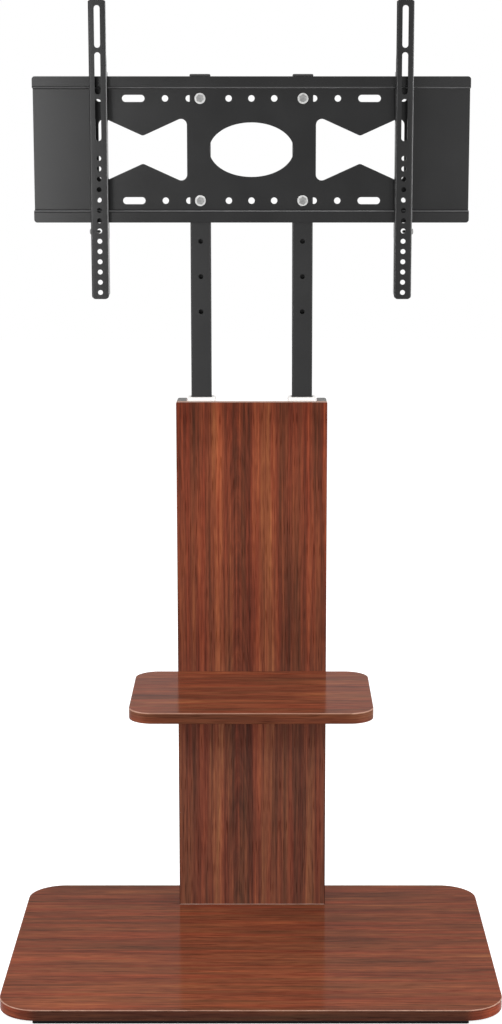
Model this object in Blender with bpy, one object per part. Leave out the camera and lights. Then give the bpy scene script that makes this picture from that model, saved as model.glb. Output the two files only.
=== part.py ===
"""A floor stand for a television: a weighted base, a boxed column with a shelf, and a folded
steel bracket on two posts that telescope in the column.

Metres, +Z up. X runs to the right, +Y runs away from the viewer, and the origin is on the floor
under the middle of the base. The posts slide down into the column, and the two arms slide along
the bracket plate.
"""

import math

import bmesh
import bpy
from mathutils import Vector

# Air between two pieces that touch, and between a screw and its hole
GAP = 0.0003
HOLE_PLAY = 0.0003

# How far a cutter runs past a thick wall, and past a sheet
CUT_PAST = 0.010
SHEET_PAST = 0.003

# What a slot's round end leaves of a full half circle, so that it keeps its two last points apart
SLOT_END_EASE = 0.00001

# Base: a laminated board on a steel plate with four pads
BASE_WIDTH = 0.700
BASE_DEPTH = 0.500
BASE_THICKNESS = 0.015
BASE_CORNER = 0.055
BALLAST_THICKNESS = 0.004
BALLAST_CORNER = 0.003
BALLAST_SIDE_MARGIN = 0.0435
BALLAST_END_MARGIN = 0.0034
PAD_RADIUS = 0.018
PAD_HEIGHT = 0.0025
PAD_CHAMFER = 0.001
PAD_INSET = 0.045

# Column: a front board and two side boards, open at the back
COLUMN_DEPTH = 0.056
COLUMN_HEIGHT = 0.785
COLUMN_WALL = 0.015
COLUMN_SETBACK = 0.090
COLUMN_TUBE_ROOM = 0.0045

# Shelf and its two angle brackets
SHELF_WIDTH = 0.350
SHELF_DEPTH = 0.240
SHELF_THICKNESS = 0.015
SHELF_CORNER = 0.035
SHELF_HEIGHT = 0.374
ANGLE_WIDTH = 0.030
ANGLE_REACH = 0.150
ANGLE_DROP = 0.050
ANGLE_SHEET = 0.0025
ANGLE_SPACING = 0.140
ANGLE_UPRIGHT_SHARES = (0.40, 0.76)
ANGLE_SHELF_SHARES = (0.30, 0.85)
RIB_REACH = 0.014
RIB_WIDTH = 0.006
RIB_SEAT = 0.001

# Rounding on the laminate's long edges
BOARD_EDGE = 0.0008

# Posts and the tubes that they slide in
POST_SPACING = 0.150
POST_WIDTH = 0.0302
POST_DEPTH = 0.020
POST_WALL = 0.0015
POST_LENGTH = 0.900
POST_CORNER = 0.002
SLEEVE_ROOM = 0.0014
TUBE_WALL = 0.0015
TUBE_CORNER = 0.003
SPARE_HOLE_RADIUS = 0.0036
SPARE_HOLE_COUNT = 3
SPARE_HOLE_PITCH = 0.0518
SPARE_HOLE_DROP = 0.0280
NUT_WALL = 0.002
NUT_DEPTH = 0.007
CAP_HEIGHT = 0.003
CAP_EASE = 0.0015
CAP_PLUG = 0.012
PLUG_TAPER = 0.001
GLIDE_HEIGHT = 0.010

# Collars between the posts and the column's top
COLLAR_WIDTH = 0.0425
COLLAR_HEIGHT = 0.0055
COLLAR_TAPER = 0.0015
COLLAR_FRONT_LAP = 0.006
COLLAR_BACK_LAP = 0.003
COLLAR_LINER = 0.030
COLLAR_CORNER = 0.003

# Foot plate, braces and bolts inside the column
FOOT_THICKNESS = 0.004
FOOT_CORNER = 0.004
FOOT_TAIL = 0.028
FOOT_BOLT_RADIUS = 0.004
FOOT_BOLT_FLATS = 0.013
FOOT_BOLT_HEAD = 0.0053
FOOT_BOLT_INNER_SPACING = 0.060
FOOT_BOLT_OUTER_SPACING = 0.150
FOOT_BOLT_TAIL_EDGE = 0.013
BRACE_HEIGHT = 0.030
BRACE_THICKNESS = 0.003
LOWER_BRACE_HEIGHT = 0.150
UPPER_BRACE_HEIGHT = 0.690
BRACE_SCREW_SPACING = 0.070

# Wood screws for the shelf brackets and the braces
SCREW_RADIUS = 0.002
SCREW_HEAD_RADIUS = 0.0042
SCREW_HEAD = 0.0024
SCREW_BITE = 0.010

# Shares of a screw's radius at its dome and tip, and of a bolt head's height that is chamfered
SCREW_DOME = 0.7
HEAD_CHAMFER = 0.12

# Clamp knobs at the back of the tubes
KNOB_DROP = 0.036
KNOB_RADIUS = 0.017
KNOB_LOBES = 6
KNOB_LOBE_DEPTH = 0.0022
KNOB_THICKNESS = 0.014
KNOB_CROWN = 0.80
KNOB_STANDOFF = 0.002
KNOB_HUB = 0.003
KNOB_STUD_RADIUS = 0.004
BOSS_RADIUS = 0.0075
BOSS_LENGTH = 0.007

# Bracket plate: a recessed web between two lips that are stepped forward
PLATE_WIDTH = 0.6364
PLATE_HEIGHT = 0.210
PLATE_LIFT = 0.2645
PLATE_SHEET = 0.002
PLATE_FOLD = 0.0015
TOP_LIP = 0.0160
BOTTOM_LIP = 0.0175
LIP_STEP = 0.012
LIP_CORNER = 0.0045
ROW_SPACING = 0.1473
HOLE_RADIUS = 0.0047
MIDDLE_HOLES = (0.0, 0.0332)
HOLES_PAST_POST = (0.0162, 0.0508, 0.1463)
PLATE_SLOT_PAST_POST = 0.0970
PLATE_SLOT_LENGTH = 0.033
PLATE_SLOT_WIDTH = 0.0102
OVAL_WIDTH = 0.1236
OVAL_HEIGHT = 0.0784
BOW_PAST_POST = 0.0836
BOW_WIDTH = 0.1288
BOW_HEIGHT = 0.0980
BOW_NECK = 0.0400
BOW_CORNER = 0.0085
BOW_NECK_ROUND = 0.006

# Hex bolts and washers that hold the plate to the posts
BOLT_RADIUS = 0.003
BOLT_FLATS = 0.010
BOLT_HEAD = 0.004
BOLT_REACH = 0.007
WASHER_RADIUS = 0.008
WASHER_THICKNESS = 0.0016

# Arms: folded channels that hook over the plate's top lip
ARM_SPACING = 0.442
ARM_WIDTH = 0.0254
ARM_LENGTH = 0.427
ARM_RISE = 0.1070
ARM_DEPTH = 0.0217
ARM_SHEET = 0.002
ARM_FOLD = 0.001
ARM_CORNER = 0.0055
ARM_SHOULDER = 0.031
ARM_SHOULDER_DEPTH = 0.010
ARM_SLOT_COUNT = 3
ARM_SLOT_WIDTH = 0.0089
ARM_SLOT_LENGTH = 0.0596
ARM_SLOT_PITCH = 0.0659
ARM_SLOT_TOP = 0.0077
ARM_HOLE_COUNT = 14
ARM_HOLE_RADIUS = 0.0036
ARM_HOLE_PITCH = 0.01488
ARM_HOLE_BOTTOM = 0.0097
HOOK_THICKNESS = 0.0037
HOOK_DROP = 0.013
HOOK_RISE = 0.0055
FLANGE_CORNER = 0.002
HOOK_CORNER = 0.001
FLANGE_START = 0.0005
TAB_ROOM = 0.0015
TAB_HEIGHT = 0.021
TAB_REACH = 0.0040
SAFETY_DROP = 0.0130
SAFETY_RADIUS = 0.0025
SAFETY_FLATS = 0.008
SAFETY_NUT = 0.004
SAFETY_HEAD_RADIUS = 0.0045
SAFETY_HEAD = 0.003

# Heights of what is stacked from the floor up
BALLAST_Z = PAD_HEIGHT + GAP
BASE_Z = BALLAST_Z + BALLAST_THICKNESS + GAP
BASE_TOP = BASE_Z + BASE_THICKNESS
COLUMN_Z = BASE_TOP + GAP
COLUMN_TOP = COLUMN_Z + COLUMN_HEIGHT
SHELF_TOP = BASE_TOP + SHELF_HEIGHT
PLATE_Z = COLUMN_TOP + PLATE_LIFT
PLATE_TOP = PLATE_Z + PLATE_HEIGHT
PLATE_MIDDLE = (PLATE_Z + PLATE_TOP) / 2
POST_TOP = PLATE_TOP + GAP
POST_Z = POST_TOP - POST_LENGTH
TUBE_Z = BASE_TOP + GAP + FOOT_THICKNESS + GAP
TUBE_LENGTH = COLUMN_TOP - TUBE_Z

# Widths that follow from the posts, and how far the posts stand from the middle
POST_PLACE = POST_SPACING / 2
TUBE_WIDTH = POST_WIDTH + 2 * (SLEEVE_ROOM + TUBE_WALL)
COLUMN_WIDTH = POST_SPACING + TUBE_WIDTH + 2 * (COLUMN_TUBE_ROOM + COLUMN_WALL)

# Depths, from the column's front to the posts and forward again to the plate and arms
COLUMN_FRONT = BASE_DEPTH / 2 - COLUMN_SETBACK
COLUMN_BACK = COLUMN_FRONT + COLUMN_DEPTH
BOARD_BACK = COLUMN_FRONT + COLUMN_WALL
TUBE_FRONT = BOARD_BACK + GAP
TUBE_DEPTH = POST_DEPTH + 2 * (SLEEVE_ROOM + TUBE_WALL)
TUBE_BACK = TUBE_FRONT + TUBE_DEPTH
POST_Y = TUBE_FRONT + TUBE_DEPTH / 2
POST_FRONT = POST_Y - POST_DEPTH / 2
WEB_BACK = POST_FRONT - GAP
WEB_FRONT = WEB_BACK - PLATE_SHEET
LIP_FRONT = WEB_FRONT - LIP_STEP
LIP_BACK = LIP_FRONT + PLATE_SHEET
ARM_BACK = LIP_FRONT - GAP
ARM_FRONT = ARM_BACK - ARM_DEPTH
ARM_TOP = PLATE_TOP + ARM_RISE

# Colours as linear red, green and blue
WALNUT = (0.190, 0.062, 0.030)
BLACK_STEEL = (0.040, 0.040, 0.041)
ZINC = (0.560, 0.560, 0.550)
WHITE_PLASTIC = (0.850, 0.840, 0.830)
BLACK_PLASTIC = (0.018, 0.018, 0.018)
RUBBER = (0.012, 0.012, 0.012)

FINISHES = {
    "walnut": (WALNUT, 0.32, 0.0),
    "black_steel": (BLACK_STEEL, 0.45, 0.6),
    "zinc": (ZINC, 0.30, 1.0),
    "white_plastic": (WHITE_PLASTIC, 0.45, 0.0),
    "black_plastic": (BLACK_PLASTIC, 0.50, 0.0),
    "rubber": (RUBBER, 0.85, 0.0),
}

# Where the two plane coordinates and the height of a swept outline go
LAYOUTS = {
    "X": lambda a, b, c: Vector((c, a, b)),
    "Y": lambda a, b, c: Vector((a, c, b)),
    "Z": lambda a, b, c: Vector((a, b, c)),
}


# Outlines in a plane

def circle(radius, count=12, centre=(0.0, 0.0)):
    """Points evenly spaced on a circle."""
    angles = [2 * math.pi * i / count for i in range(count)]
    return [(centre[0] + radius * math.cos(a), centre[1] + radius * math.sin(a)) for a in angles]


def oval(width, height, count=32):
    """Points on an ellipse."""
    return [(x * width / 2, y * height / 2) for x, y in circle(1.0, count)]


def hexagon(flats, per_side=2):
    """A hexagon with points along its sides, so that it joins a circle of as many points."""
    count = 6 * per_side
    points = []
    for i in range(count):
        angle = 2 * math.pi * i / count
        off_middle = (angle + math.pi / 6) % (math.pi / 3) - math.pi / 6
        reach = flats / 2 / math.cos(off_middle)
        points.append((reach * math.cos(angle), reach * math.sin(angle)))
    return points


def outline(corners, steps=5):
    """A polygon through (x, y, radius) corners, each corner rounded to its radius."""
    points = []
    for i, (x, y, radius) in enumerate(corners):
        here = Vector((x, y))
        back = (Vector(corners[i - 1][:2]) - here).normalized()
        ahead = (Vector(corners[(i + 1) % len(corners)][:2]) - here).normalized()
        if radius == 0:
            points.append((x, y))
            continue
        half = back.angle(ahead) / 2
        reach = radius / math.tan(half)
        centre = here + (back + ahead).normalized() * radius / math.sin(half)
        start = here + back * reach - centre
        end = here + ahead * reach - centre
        first = math.atan2(start.y, start.x)
        sweep = (math.atan2(end.y, end.x) - first + math.pi) % (2 * math.pi) - math.pi
        for k in range(steps + 1):
            angle = first + sweep * k / steps
            points.append((centre.x + radius * math.cos(angle), centre.y + radius * math.sin(angle)))
    return points


def rectangle(width, depth, radius=0.0, centre=(0.0, 0.0), steps=5):
    """A rectangle about a centre, with rounded corners."""
    x, y = centre
    w, d = width / 2, depth / 2
    corners = [(x - w, y - d), (x + w, y - d), (x + w, y + d), (x - w, y + d)]
    return outline([(a, b, radius) for a, b in corners], steps)


# Solids

def skin(mesh, rings, closed=False):
    """Joins rings of equal count into one body: its ends are capped, or joined to each other."""
    loops = [[mesh.verts.new(point) for point in ring] for ring in rings]
    count = len(loops[0])
    pairs = list(zip(loops, loops[1:]))
    if closed:
        pairs.append((loops[-1], loops[0]))
    else:
        mesh.faces.new(loops[0])
        mesh.faces.new(loops[-1])
    for low, high in pairs:
        for i in range(count):
            j = (i + 1) % count
            mesh.faces.new((low[i], low[j], high[j], high[i]))


def sweep(mesh, sections, axis="Z", closed=False):
    """A body from (height, outline) sections stacked along one axis."""
    place = LAYOUTS[axis]
    skin(mesh, [[place(a, b, height) for a, b in points] for height, points in sections], closed)


def finish(name, look):
    """The material of one sub-part."""
    colour, roughness, metallic = FINISHES[look]
    material = bpy.data.materials.new(name)
    material.use_nodes = True
    shader = material.node_tree.nodes["Principled BSDF"]
    shader.inputs["Base Color"].default_value = (*colour, 1.0)
    shader.inputs["Roughness"].default_value = roughness
    shader.inputs["Metallic"].default_value = metallic
    material.diffuse_color = (*colour, 1.0)
    return material


def piece(name, build, look, parent, at=(0.0, 0.0, 0.0)):
    """One sub-part: its mesh from a builder function, its finish, its parent and its place."""
    mesh = bmesh.new()
    build(mesh)
    bmesh.ops.recalc_face_normals(mesh, faces=mesh.faces)
    data = bpy.data.meshes.new(name)
    mesh.to_mesh(data)
    mesh.free()
    data.shade_smooth()
    data.set_sharp_from_angle(angle=math.radians(32))
    data.materials.append(finish(name, look))
    made = bpy.data.objects.new(name, data)
    bpy.context.scene.collection.objects.link(made)
    made.parent = parent
    made.location = Vector(at) - parent.location
    return made


def shape(target, name, build, operation):
    """Cuts, joins or trims a sub-part with a guide body that is drawn in the sub-part's own frame."""
    mesh = bmesh.new()
    build(mesh)
    bmesh.ops.recalc_face_normals(mesh, faces=mesh.faces)
    data = bpy.data.meshes.new(name)
    mesh.to_mesh(data)
    mesh.free()
    data.shade_smooth()
    data.set_sharp_from_angle(angle=math.radians(32))
    guide = bpy.data.objects.new(name, data)
    bpy.context.scene.collection.objects.link(guide)
    guide.parent = target
    guide.hide_render = True
    guide.display_type = "WIRE"
    modifier = target.modifiers.new(name, "BOOLEAN")
    modifier.object = guide
    modifier.operation = operation
    modifier.solver = "EXACT"


def pivot(name, at, parent=None):
    """An empty at the origin or on the axis of one moving assembly."""
    made = bpy.data.objects.new(name, None)
    bpy.context.scene.collection.objects.link(made)
    made.empty_display_size = 0.03
    made.parent = parent
    made.location = Vector(at) - (parent.location if parent else Vector())
    return made


def eased_edges(made, width):
    """Small rounding along the sharp edges of a board."""
    modifier = made.modifiers.new("eased edges", "BEVEL")
    modifier.width = width
    modifier.segments = 1
    modifier.limit_method = "ANGLE"
    modifier.angle_limit = math.radians(40)


def headed_screw(radius, head_radius, head, length, count=10):
    """A pan-head screw along +Z: its tip at the bottom, the underside of its head at zero."""
    def build(mesh):
        sweep(mesh, [
            (-length, circle(radius * SCREW_DOME, count)),
            (-length + radius, circle(radius, count)),
            (0.0, circle(radius, count)),
            (0.0, circle(head_radius, count)),
            (head, circle(head_radius * SCREW_DOME, count)),
        ])
    return build


def hex_bolt(radius, flats, head, length, per_side=2):
    """A hex bolt along +Z with a chamfered head, the underside of its head at zero."""
    def build(mesh):
        count = 6 * per_side
        chamfer = HEAD_CHAMFER * head
        sweep(mesh, [
            (-length, circle(radius, count)),
            (0.0, circle(radius, count)),
            (0.0, hexagon(flats, per_side)),
            (head - chamfer, hexagon(flats, per_side)),
            (head, circle(flats / 2 - chamfer, count)),
        ])
    return build


def turned_to(made, axis):
    """Turns a sub-part that was drawn along +Z so that it points along another axis."""
    made.rotation_euler = Vector(axis).to_track_quat("Z", "Y").to_euler()


# Base

def foot_bolt_places():
    """The foot bolts' X and Y: two between the tubes, and two behind the column."""
    inner, outer = FOOT_BOLT_INNER_SPACING / 2, FOOT_BOLT_OUTER_SPACING / 2
    tail = COLUMN_BACK + FOOT_TAIL - FOOT_BOLT_TAIL_EDGE
    return [(-inner, POST_Y), (inner, POST_Y), (-outer, tail), (outer, tail)]


def bolt_holes(low, high):
    """A builder of the four cutters for the foot bolts."""
    def build(mesh):
        for centre in foot_bolt_places():
            hole = circle(FOOT_BOLT_RADIUS + HOLE_PLAY, centre=centre)
            sweep(mesh, [(low, hole), (high, hole)])
    return build


def build_base(stand):
    """The laminated board, the steel plate under it and the four pads."""
    def board(mesh):
        plan = rectangle(BASE_WIDTH, BASE_DEPTH, BASE_CORNER, steps=9)
        sweep(mesh, [(0.0, plan), (BASE_THICKNESS, plan)])

    width = BASE_WIDTH - 2 * BALLAST_SIDE_MARGIN
    depth = BASE_DEPTH - 2 * BALLAST_END_MARGIN

    def ballast(mesh):
        plan = rectangle(width, depth, BALLAST_CORNER, steps=5)
        sweep(mesh, [(0.0, plan), (BALLAST_THICKNESS, plan)])

    def pad(mesh):
        sweep(mesh, [
            (0.0, circle(PAD_RADIUS - PAD_CHAMFER, 16)),
            (PAD_CHAMFER, circle(PAD_RADIUS, 16)),
            (PAD_HEIGHT, circle(PAD_RADIUS, 16)),
        ])

    base = piece("base_board", board, "walnut", stand, (0, 0, BASE_Z))
    eased_edges(base, BOARD_EDGE)
    shape(base, "base bolt holes", bolt_holes(-CUT_PAST, BASE_THICKNESS + CUT_PAST), "DIFFERENCE")
    plate = piece("base_plate", ballast, "black_steel", stand, (0, 0, BALLAST_Z))
    shape(plate, "plate bolt holes", bolt_holes(-CUT_PAST, BALLAST_THICKNESS + CUT_PAST), "DIFFERENCE")
    for end, y in (("front", -1), ("back", 1)):
        for side, x in (("left", -1), ("right", 1)):
            place = (x * (width / 2 - PAD_INSET), y * (depth / 2 - PAD_INSET), 0)
            piece(f"foot_pad_{end}_{side}", pad, "rubber", stand, place)


# Column

def screw_pilots(places, axis, start, depth):
    """A builder of the blind holes for wood screws: places in the plane across the axis."""
    def build(mesh):
        for centre in places:
            hole = circle(SCREW_RADIUS + HOLE_PLAY, 10, centre)
            sweep(mesh, [(start, hole), (start + depth, hole)], axis)
    return build


def angle_screw_heights():
    """Heights of the two screws in each shelf bracket's upright leg."""
    under = SHELF_TOP - SHELF_THICKNESS
    return [under - ANGLE_DROP * share for share in ANGLE_UPRIGHT_SHARES]


def brace_screw_places():
    """X and Z of the screws that hold the column's front board to the braces."""
    heights = [COLUMN_Z + LOWER_BRACE_HEIGHT, COLUMN_Z + UPPER_BRACE_HEIGHT]
    return [(x * BRACE_SCREW_SPACING / 2, z) for z in heights for x in (-1, 1)]


def build_column(stand):
    """Three boards: the front one carries the shelf and is screwed to the braces."""
    def front(mesh):
        plan = rectangle(COLUMN_WIDTH, COLUMN_WALL, centre=(0, COLUMN_WALL / 2))
        sweep(mesh, [(0.0, plan), (COLUMN_HEIGHT, plan)])

    side_depth = COLUMN_DEPTH - COLUMN_WALL - GAP

    def side(mesh):
        plan = rectangle(COLUMN_WALL, side_depth, centre=(0, side_depth / 2))
        sweep(mesh, [(0.0, plan), (COLUMN_HEIGHT, plan)])

    board = piece("column_front_board", front, "walnut", stand, (0, COLUMN_FRONT, COLUMN_Z))
    eased_edges(board, BOARD_EDGE)
    shelf_screws = [
        (x * ANGLE_SPACING / 2, z - COLUMN_Z) for z in angle_screw_heights() for x in (-1, 1)
    ]
    brace_screws = [(x, z - COLUMN_Z) for x, z in brace_screw_places()]
    pilot = SCREW_BITE + HOLE_PLAY
    shape(board, "bracket screw pilots",
          screw_pilots(shelf_screws, "Y", -CUT_PAST, CUT_PAST + pilot), "DIFFERENCE")
    shape(board, "brace screw pilots",
          screw_pilots(brace_screws, "Y", COLUMN_WALL - pilot, pilot + CUT_PAST), "DIFFERENCE")
    for name, x in (("column_left_board", -1), ("column_right_board", 1)):
        place = (x * (COLUMN_WIDTH - COLUMN_WALL) / 2, BOARD_BACK + GAP, COLUMN_Z)
        eased_edges(piece(name, side, "walnut", stand, place), BOARD_EDGE)


# Steel frame inside the column

def build_socket(stand):
    """The foot plate, the two outer tubes, the braces between them and their bolts."""
    foot_front = BOARD_BACK + GAP
    foot_width = COLUMN_WIDTH - 2 * COLUMN_WALL - 4 * GAP
    foot_depth = COLUMN_BACK + FOOT_TAIL - foot_front

    def foot(mesh):
        plan = rectangle(foot_width, foot_depth, FOOT_CORNER, (0, foot_front + foot_depth / 2))
        sweep(mesh, [(0.0, plan), (FOOT_THICKNESS, plan)])

    plate = piece("mast_foot_plate", foot, "black_steel", stand, (0, 0, BASE_TOP + GAP))
    shape(plate, "foot bolt holes", bolt_holes(-CUT_PAST, FOOT_THICKNESS + CUT_PAST), "DIFFERENCE")

    seat = BASE_TOP + GAP + FOOT_THICKNESS + GAP
    bolt = hex_bolt(FOOT_BOLT_RADIUS, FOOT_BOLT_FLATS, FOOT_BOLT_HEAD, seat - BALLAST_Z)
    names = ("foot_bolt_front_left", "foot_bolt_front_right", "foot_bolt_back_left", "foot_bolt_back_right")
    for name, (x, y) in zip(names, foot_bolt_places()):
        piece(name, bolt, "zinc", stand, (x, y, seat))

    def tube(mesh):
        outer = rectangle(TUBE_WIDTH, TUBE_DEPTH, TUBE_CORNER, steps=3)
        inner = rectangle(TUBE_WIDTH - 2 * TUBE_WALL, TUBE_DEPTH - 2 * TUBE_WALL,
                          TUBE_CORNER - TUBE_WALL, steps=3)
        sweep(mesh, [(0.0, outer), (TUBE_LENGTH, outer), (TUBE_LENGTH, inner), (0.0, inner)], closed=True)

    clamp = TUBE_LENGTH - KNOB_DROP
    wall = TUBE_DEPTH / 2

    def boss(mesh):
        ring = circle(BOSS_RADIUS, 16, (0, clamp))
        sweep(mesh, [(wall - TUBE_WALL / 2, ring), (wall + BOSS_LENGTH, ring)], "Y")

    def stud_hole(mesh):
        ring = circle(KNOB_STUD_RADIUS + HOLE_PLAY, 12, (0, clamp))
        start = wall - TUBE_WALL - SHEET_PAST
        sweep(mesh, [(start, ring), (wall + BOSS_LENGTH + SHEET_PAST, ring)], "Y")

    for side, x in (("left", -1), ("right", 1)):
        place = (x * POST_PLACE, POST_Y, TUBE_Z)
        made = piece(f"{side}_outer_tube", tube, "black_steel", stand, place)
        shape(made, f"{side} clamp boss", boss, "UNION")
        shape(made, f"{side} stud hole", stud_hole, "DIFFERENCE")

    brace_length = POST_SPACING - TUBE_WIDTH - 2 * GAP

    def brace(mesh):
        plan = rectangle(brace_length, BRACE_HEIGHT)
        sweep(mesh, [(0.0, plan), (BRACE_THICKNESS, plan)], "Y")

    holes = [(x * BRACE_SCREW_SPACING / 2, 0.0) for x in (-1, 1)]
    braces = {"lower_cross_brace": LOWER_BRACE_HEIGHT, "upper_cross_brace": UPPER_BRACE_HEIGHT}
    for name, height in braces.items():
        made = piece(name, brace, "black_steel", stand, (0, TUBE_FRONT, COLUMN_Z + height))
        through = screw_pilots(holes, "Y", -SHEET_PAST, BRACE_THICKNESS + 2 * SHEET_PAST)
        shape(made, f"{name} holes", through, "DIFFERENCE")

    grip = BRACE_THICKNESS + 2 * GAP
    screw = headed_screw(SCREW_RADIUS, SCREW_HEAD_RADIUS, SCREW_HEAD, grip + SCREW_BITE)
    names = ("brace_screw_lower_left", "brace_screw_lower_right",
             "brace_screw_upper_left", "brace_screw_upper_right")
    for name, (x, z) in zip(names, brace_screw_places()):
        made = piece(name, screw, "zinc", stand, (x, BOARD_BACK + grip, z))
        turned_to(made, (0, 1, 0))


def build_collars(stand):
    """White plastic collars: a tapered flange on the column's top and a liner inside the tube."""
    flange_back = TUBE_BACK + COLLAR_BACK_LAP
    flange_front = BOARD_BACK - COLLAR_FRONT_LAP
    middle = (flange_front + flange_back) / 2 - POST_Y
    depth = flange_back - flange_front
    steps = 3

    def collar(mesh):
        bore = rectangle(POST_WIDTH + 2 * GAP, POST_DEPTH + 2 * GAP, POST_CORNER, steps=steps)
        liner = rectangle(POST_WIDTH + 2 * (SLEEVE_ROOM - GAP), POST_DEPTH + 2 * (SLEEVE_ROOM - GAP),
                          TUBE_CORNER - TUBE_WALL, steps=steps)
        foot = rectangle(COLLAR_WIDTH, depth, COLLAR_CORNER, (0, middle), steps)
        crown = rectangle(COLLAR_WIDTH - 2 * COLLAR_TAPER, depth - 2 * COLLAR_TAPER,
                          COLLAR_CORNER - COLLAR_TAPER / 2, (0, middle), steps)
        sweep(mesh, [
            (-COLLAR_LINER, liner),
            (0.0, liner),
            (0.0, foot),
            (COLLAR_HEIGHT * 0.35, foot),
            (COLLAR_HEIGHT, crown),
            (COLLAR_HEIGHT, bore),
            (-COLLAR_LINER, bore),
        ], closed=True)

    for side, x in (("left", -1), ("right", 1)):
        place = (x * POST_PLACE, POST_Y, COLUMN_TOP + GAP)
        piece(f"{side}_collar", collar, "white_plastic", stand, place)


def build_knob(side, knob, x):
    """A clamp knob: a lobed grip, a hub and a threaded stud whose tip bears on the post."""
    tip = POST_Y + POST_DEPTH / 2 + GAP
    shoulder = TUBE_BACK + BOSS_LENGTH + KNOB_STANDOFF
    count = 5 * KNOB_LOBES
    lobed = []
    for i in range(count):
        angle = 2 * math.pi * i / count
        reach = KNOB_RADIUS - KNOB_LOBE_DEPTH * (1 - math.cos(KNOB_LOBES * angle)) / 2
        lobed.append((reach * math.cos(angle), reach * math.sin(angle)))

    def scaled(points, share):
        return [(a * share, b * share) for a, b in points]

    def build(mesh):
        stud = circle(KNOB_STUD_RADIUS, count)
        hub = circle(BOSS_RADIUS, count)
        grip = shoulder + KNOB_HUB
        sweep(mesh, [
            (0.0, stud),
            (shoulder - tip, stud),
            (shoulder - tip, hub),
            (grip - tip, hub),
            (grip - tip, lobed),
            (grip - tip + KNOB_THICKNESS - KNOB_RADIUS * (1 - KNOB_CROWN), lobed),
            (grip - tip + KNOB_THICKNESS, scaled(lobed, KNOB_CROWN)),
        ])

    made = piece(f"{side}_clamp_knob", build, "black_plastic", knob,
                 (x * POST_PLACE, tip, TUBE_Z + TUBE_LENGTH - KNOB_DROP))
    turned_to(made, (0, 1, 0))


# Shelf

def build_shelf(stand):
    """The shelf board, two folded angle brackets under it and their screws."""
    back = COLUMN_FRONT - GAP
    underside = SHELF_TOP - SHELF_THICKNESS
    shelf_y = back - SHELF_DEPTH / 2

    def board(mesh):
        plan = rectangle(SHELF_WIDTH, SHELF_DEPTH, SHELF_CORNER, steps=7)
        sweep(mesh, [(0.0, plan), (SHELF_THICKNESS, plan)])

    screw_depths = [ANGLE_REACH * share for share in ANGLE_SHELF_SHARES]
    seats = [
        (x * ANGLE_SPACING / 2, back - depth - shelf_y) for depth in screw_depths for x in (-1, 1)
    ]
    shelf = piece("shelf", board, "walnut", stand, (0, shelf_y, underside))
    eased_edges(shelf, BOARD_EDGE)
    shape(shelf, "shelf screw pilots",
          screw_pilots(seats, "Z", -CUT_PAST, CUT_PAST + SCREW_BITE + HOLE_PLAY), "DIFFERENCE")

    # The bracket is drawn in the YZ plane from the inner corner of its fold
    def bracket(mesh):
        fold = ANGLE_SHEET
        corners = [
            (0.0, 0.0, 2 * fold),
            (0.0, -ANGLE_DROP, 0.0),
            (-ANGLE_SHEET, -ANGLE_DROP, 0.0),
            (-ANGLE_SHEET, -ANGLE_SHEET, fold),
            (-ANGLE_REACH, -ANGLE_SHEET, 0.0),
            (-ANGLE_REACH, 0.0, 0.0),
        ]
        profile = outline(corners, 4)
        half = ANGLE_WIDTH / 2
        sweep(mesh, [(-half, profile), (half, profile)], "X")

    def upright_holes(mesh):
        for height in angle_screw_heights():
            hole = circle(SCREW_RADIUS + HOLE_PLAY, 10, (0, height - underside + GAP))
            sweep(mesh, [(-ANGLE_SHEET - SHEET_PAST, hole), (SHEET_PAST, hole)], "Y")

    def shelf_holes(mesh):
        for depth in screw_depths:
            hole = circle(SCREW_RADIUS + HOLE_PLAY, 10, (0, -depth))
            sweep(mesh, [(-ANGLE_SHEET - SHEET_PAST, hole), (SHEET_PAST, hole)], "Z")

    # A pressed rib stiffens the fold
    def rib(mesh):
        seat, half = -RIB_SEAT, RIB_WIDTH / 2
        corners = [(seat, seat, 0.0), (seat, -RIB_REACH, 0.0), (-RIB_REACH, seat, 0.0)]
        sweep(mesh, [(-half, outline(corners)), (half, outline(corners))], "X")

    grip = ANGLE_SHEET + 2 * GAP
    screw = headed_screw(SCREW_RADIUS, SCREW_HEAD_RADIUS, SCREW_HEAD, grip + SCREW_BITE)
    for side, x in (("left", -1), ("right", 1)):
        across = x * ANGLE_SPACING / 2
        made = piece(f"{side}_shelf_bracket", bracket, "black_steel", stand, (across, back, underside - GAP))
        shape(made, f"{side} upright holes", upright_holes, "DIFFERENCE")
        shape(made, f"{side} shelf holes", shelf_holes, "DIFFERENCE")
        shape(made, f"{side} bracket rib", rib, "UNION")
        for place, depth in zip(("back", "front"), screw_depths):
            made = piece(f"{side}_shelf_screw_{place}", screw, "zinc", stand,
                         (across, back - depth, underside - grip))
            turned_to(made, (0, 0, -1))
        for place, height in zip(("upper", "lower"), angle_screw_heights()):
            made = piece(f"{side}_bracket_screw_{place}", screw, "zinc", stand,
                         (across, COLUMN_FRONT - grip, height))
            turned_to(made, (0, -1, 0))


# Posts

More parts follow.
